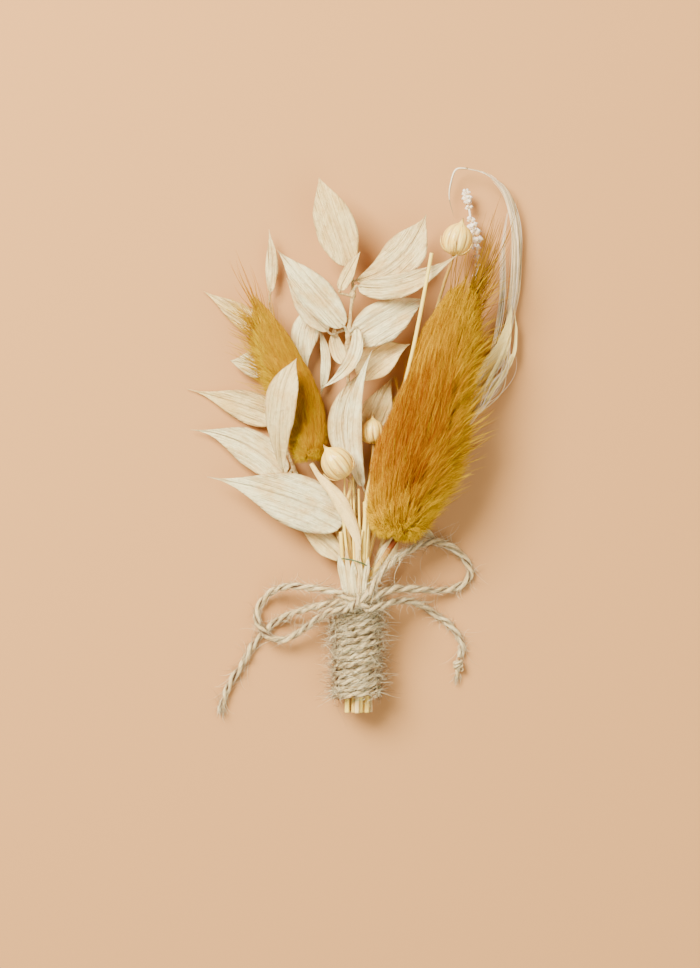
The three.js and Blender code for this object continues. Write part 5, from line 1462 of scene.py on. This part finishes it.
class BOUTONNIERE_OT_grass(PieceMaker, bpy.types.Operator):
    """Grows the feather grass: a stem, narrow blades, and bundles of long fine bristles"""

    bl_idname = "boutonniere.grass"
    bl_label = "Feather grass"

    def make(self):
        rng = np.random.default_rng(83)
        centres = smooth_curve(GRASS_STEM, 160)
        shapes = [tube(centres, np.linspace(0.58, 0.45, len(centres)), 10)]
        shapes += [self.blade(rng, **blade) for blade in GRASS_BLADES]
        husk = stem_paint("grass_husk", self.colours.husk, tinted(self.colours.husk, 0.66), 0.45)
        make_piece("feather_grass_blades", shapes, husk, ["feather_grass"])
        bristles = [self.bristles(rng, **bundle) for bundle in GRASS_BRISTLES]
        make_piece("feather_grass_bristles", bristles, bristle_paint(self.colours))

    def blade(self, rng, width, points):
        """A dry blade, half its width at the root and narrower to its tip as 1 - t^2, with uneven edges,
        lifted by 0.3 of its width times |v| and rocked at random."""
        centres = smooth_curve(points, BLADE_ROWS)
        _, across, up = axes_along(centres)
        t = np.linspace(0, 1, BLADE_ROWS)[:, None]
        v = np.linspace(-1, 1, 9)[None, :]
        uneven = 1 + 0.25 * wander(rng, BLADE_ROWS, 6)[:, None]
        width = np.maximum(BLADE_LEAST, width * (1 - t**2) * uneven)
        lift = 0.3 * width * np.abs(v) + 0.35 * wander(rng, BLADE_ROWS, 8)[:, None] * v
        middle = centres[:, None] + (v * width)[..., None] * across[:, None] + lift[..., None] * up[:, None]
        grain = joined(2 * v * width, 0, 30 * t)
        return blade_skin(middle[:, ::-1], 0.08 * up[:, None], grain[:, ::-1], (0.5, 0.5, 0.0))

    def bristles(self, rng, count, spread, points):
        """Fine hairs that follow one line together, each a little beside it and of its own length."""
        line = smooth_curve(points, BRISTLE_ROWS)
        _, across, up = axes_along(line)
        s = np.linspace(0, 1, BRISTLE_ROWS)[None, :, None]
        a, b = rng.normal(0, 1, (2, count, 1, 1)) * spread * 0.55
        twist = 3.5 * s + rng.random((count, 1, 1)) * 2
        apart = np.sin(np.pi * np.clip(s, 0.02, 0.98)) ** 0.5
        offset = a * np.cos(twist) * across + b * np.sin(twist) * up
        stray = np.stack([wander(rng, BRISTLE_ROWS, 12) for _ in range(count)])[..., None]
        centre = line + apart * (offset + spread * 0.5 * stray * across)
        place = s[..., 0] * (rng.random((count, 1)) * 0.25 + 0.75) * (BRISTLE_ROWS - 1)
        centre = np.stack([between(rows, at) for rows, at in zip(centre, place)])
        thick = 0.1 + 0.2 * rng.random(count) ** 2
        return hair_skins(lifted(centre, BRISTLE_REST), thick, (rng.random(count), 0))


class BOUTONNIERE_OT_wire(PieceMaker, bpy.types.Operator):
    """Bends the thin green wire once round the fanning stems"""

    bl_idname = "boutonniere.wire"
    bl_label = "Binding wire"

    def make(self):
        """x = (across - 0.03 a) cos a and z = (up - 0.03 a) sin a. Along the stems it leans by lean cos a,
        bends back by back (1 - sin a), and 0.35 sin(a/2 + 0.7) keeps its two ends apart."""
        x, y, z = WIRE["centre"]
        turn = np.linspace(-0.5 * np.pi, 1.7 * np.pi, 160)
        y = y - WIRE["lean"] * np.cos(turn) - WIRE["back"] * (1 - np.sin(turn))
        path = joined(
            x + (WIRE["across"] - 0.03 * turn) * np.cos(turn),
            y + 0.35 * np.sin(turn / 2 + 0.7),
            z + (WIRE["up"] - 0.03 * turn) * np.sin(turn))
        out = unit((path - (x, 0, z)) * (1, 0, 1))
        side = np.cross(unit(np.gradient(path, axis=0)), out)
        a = round_angles(8)[None, :, None]
        rings = path[:, None] + self.wire_radius * ring(a, out[:, None], side[:, None])
        shape = skin(rings, rings, np.full(3, 0.5)[None, None])
        make_piece("florist_wire", [shape], wire_paint(self.colours), ["binding_wire"])


class BOUTONNIERE_OT_small_tail(PieceMaker, bpy.types.Operator):
    """Grows the small mustard bunny tail and its stem"""

    bl_idname = "boutonniere.small_tail"
    bl_label = "Small bunny tail"

    def make(self):
        rng = np.random.default_rng(97)
        head = Head(**LEFT_TAIL)
        c = self.colours
        # The painted shade at the roots of the hairs: deep mustard made darker.
        root = tinted(c.mustard_deep, 0.62)
        paint = fluff_paint("mustard_fluff", c.mustard_deep, c.mustard, c.mustard_pale, root)
        low = [tail_hairs(head, rng, self.left_tufts, self.hair_radius, 0.0, 0.5), head.core()]
        make_piece("small_tail_hairs_low", low, paint, ["bunny_tail_left_head"])
        high = [tail_hairs(head, rng, self.left_tufts, self.hair_radius, 0.5, 1.03)]
        high += [wisps(head, rng, **group) for group in LEFT_WISPS]
        make_piece("small_tail_hairs_high", high, paint)

        centres = smooth_curve(LEFT_TAIL_STEM, 160)
        share = np.linspace(0, 1, len(centres))
        swelling = np.sin(np.pi * np.clip((share - 0.55) / 0.45, 0, 1))  # inside the leaf's sheath
        straw = stem_paint("small_tail_stem", c.leaf, tinted(c.leaf, 0.5), 0.45)
        stalk = tube(centres, STEM_RADIUS + 0.3 * swelling, 14)
        shapes = [stalk, *leaf(TAIL_SHEATH, self.leaf_thickness, rng)]
        make_piece("small_tail_stem", shapes, straw, ["bunny_tail_left_stem"])


class BOUTONNIERE_OT_large_tail(PieceMaker, bpy.types.Operator):
    """Grows the large ochre bunny tail and its stem"""

    bl_idname = "boutonniere.large_tail"
    bl_label = "Large bunny tail"

    def make(self):
        rng = np.random.default_rng(101)
        head = Head(**RIGHT_TAIL)
        c = self.colours
        # Deep ochre is the painted shade at the roots of the hairs.
        paint = fluff_paint("ochre_fluff", c.ochre, c.ochre_gold, c.ochre_pale, c.ochre_deep)
        bands = (("low", 0.0, 0.24), ("middle", 0.24, 0.48), ("upper", 0.48, 0.74), ("high", 0.74, 1.01))
        for name, low, high in bands:
            shapes = [tail_hairs(head, rng, self.right_tufts, self.hair_radius, low, high)]
            nodes = []
            if name == "middle":
                shapes.append(head.core())
                nodes = ["bunny_tail_right_head"]
            count = 80 if name == "high" else 200
            shapes.append(wisps(head, rng, count=count, low=low, high=min(high, 1), **RIGHT_WISPS))
            make_piece("large_tail_hairs_" + name, shapes, paint, nodes)

        # Brown is the awns' darkest colour, and also their painted shade towards the root, inside the head.
        brown = tinted(c.ochre_gold, 0.34)
        awns = fluff_paint("ochre_awn", brown, tinted(c.ochre_gold, 0.7), c.ochre_gold, brown)
        shapes = [wisps(head, rng, **group) for group in RIGHT_AWNS]
        make_piece("large_tail_awns", shapes, awns)

        stalk = tube(smooth_curve(RIGHT_TAIL_STEM, 110), np.linspace(STEM_RADIUS, 0.72, 110), 12)
        dyed = stem_paint("large_tail_stem", tinted(c.straw, 0.9), c.ochre, 0.5, c.ochre_deep)
        make_piece("large_tail_stem", [stalk], dyed, ["bunny_tail_right_stem"])


OPERATORS = (
    BOUTONNIERE_OT_stage,
    BOUTONNIERE_OT_bow,
    BOUTONNIERE_OT_winding,
    BOUTONNIERE_OT_ruscus,
    BOUTONNIERE_OT_flax,
    BOUTONNIERE_OT_straw,
    BOUTONNIERE_OT_heather,
    BOUTONNIERE_OT_grass,
    BOUTONNIERE_OT_wire,
    BOUTONNIERE_OT_small_tail,
    BOUTONNIERE_OT_large_tail,
)


class BOUTONNIERE_PT_panel(bpy.types.Panel):
    """Lists the sizes, the colours and the pieces"""

    bl_label = "Boutonniere"
    bl_idname = "BOUTONNIERE_PT_panel"
    bl_space_type = "VIEW_3D"
    bl_region_type = "UI"
    bl_category = "Boutonniere"

    def draw(self, context):
        for group in (context.scene.boutonniere_sizes, context.scene.boutonniere_colours):
            box = self.layout.box()
            for name in group.__annotations__:
                box.prop(group, name)
        for operator in OPERATORS:
            self.layout.operator(operator.bl_idname)


CLASSES = (BoutonniereSizes, BoutonniereColours, *OPERATORS, BOUTONNIERE_PT_panel)


def register():
    for cls in CLASSES:
        bpy.utils.register_class(cls)
    bpy.types.Scene.boutonniere_sizes = bpy.props.PointerProperty(type=BoutonniereSizes)
    bpy.types.Scene.boutonniere_colours = bpy.props.PointerProperty(type=BoutonniereColours)


def unregister():
    del bpy.types.Scene.boutonniere_colours
    del bpy.types.Scene.boutonniere_sizes
    for cls in reversed(CLASSES):
        bpy.utils.unregister_class(cls)


def main():
    register()
    bpy.ops.boutonniere.stage()
    bpy.ops.boutonniere.bow()
    bpy.ops.boutonniere.winding()
    bpy.ops.boutonniere.ruscus()
    bpy.ops.boutonniere.flax()
    bpy.ops.boutonniere.straw()
    bpy.ops.boutonniere.heather()
    bpy.ops.boutonniere.grass()
    bpy.ops.boutonniere.wire()
    bpy.ops.boutonniere.small_tail()
    bpy.ops.boutonniere.large_tail()


if __name__ == "__main__":
    main()
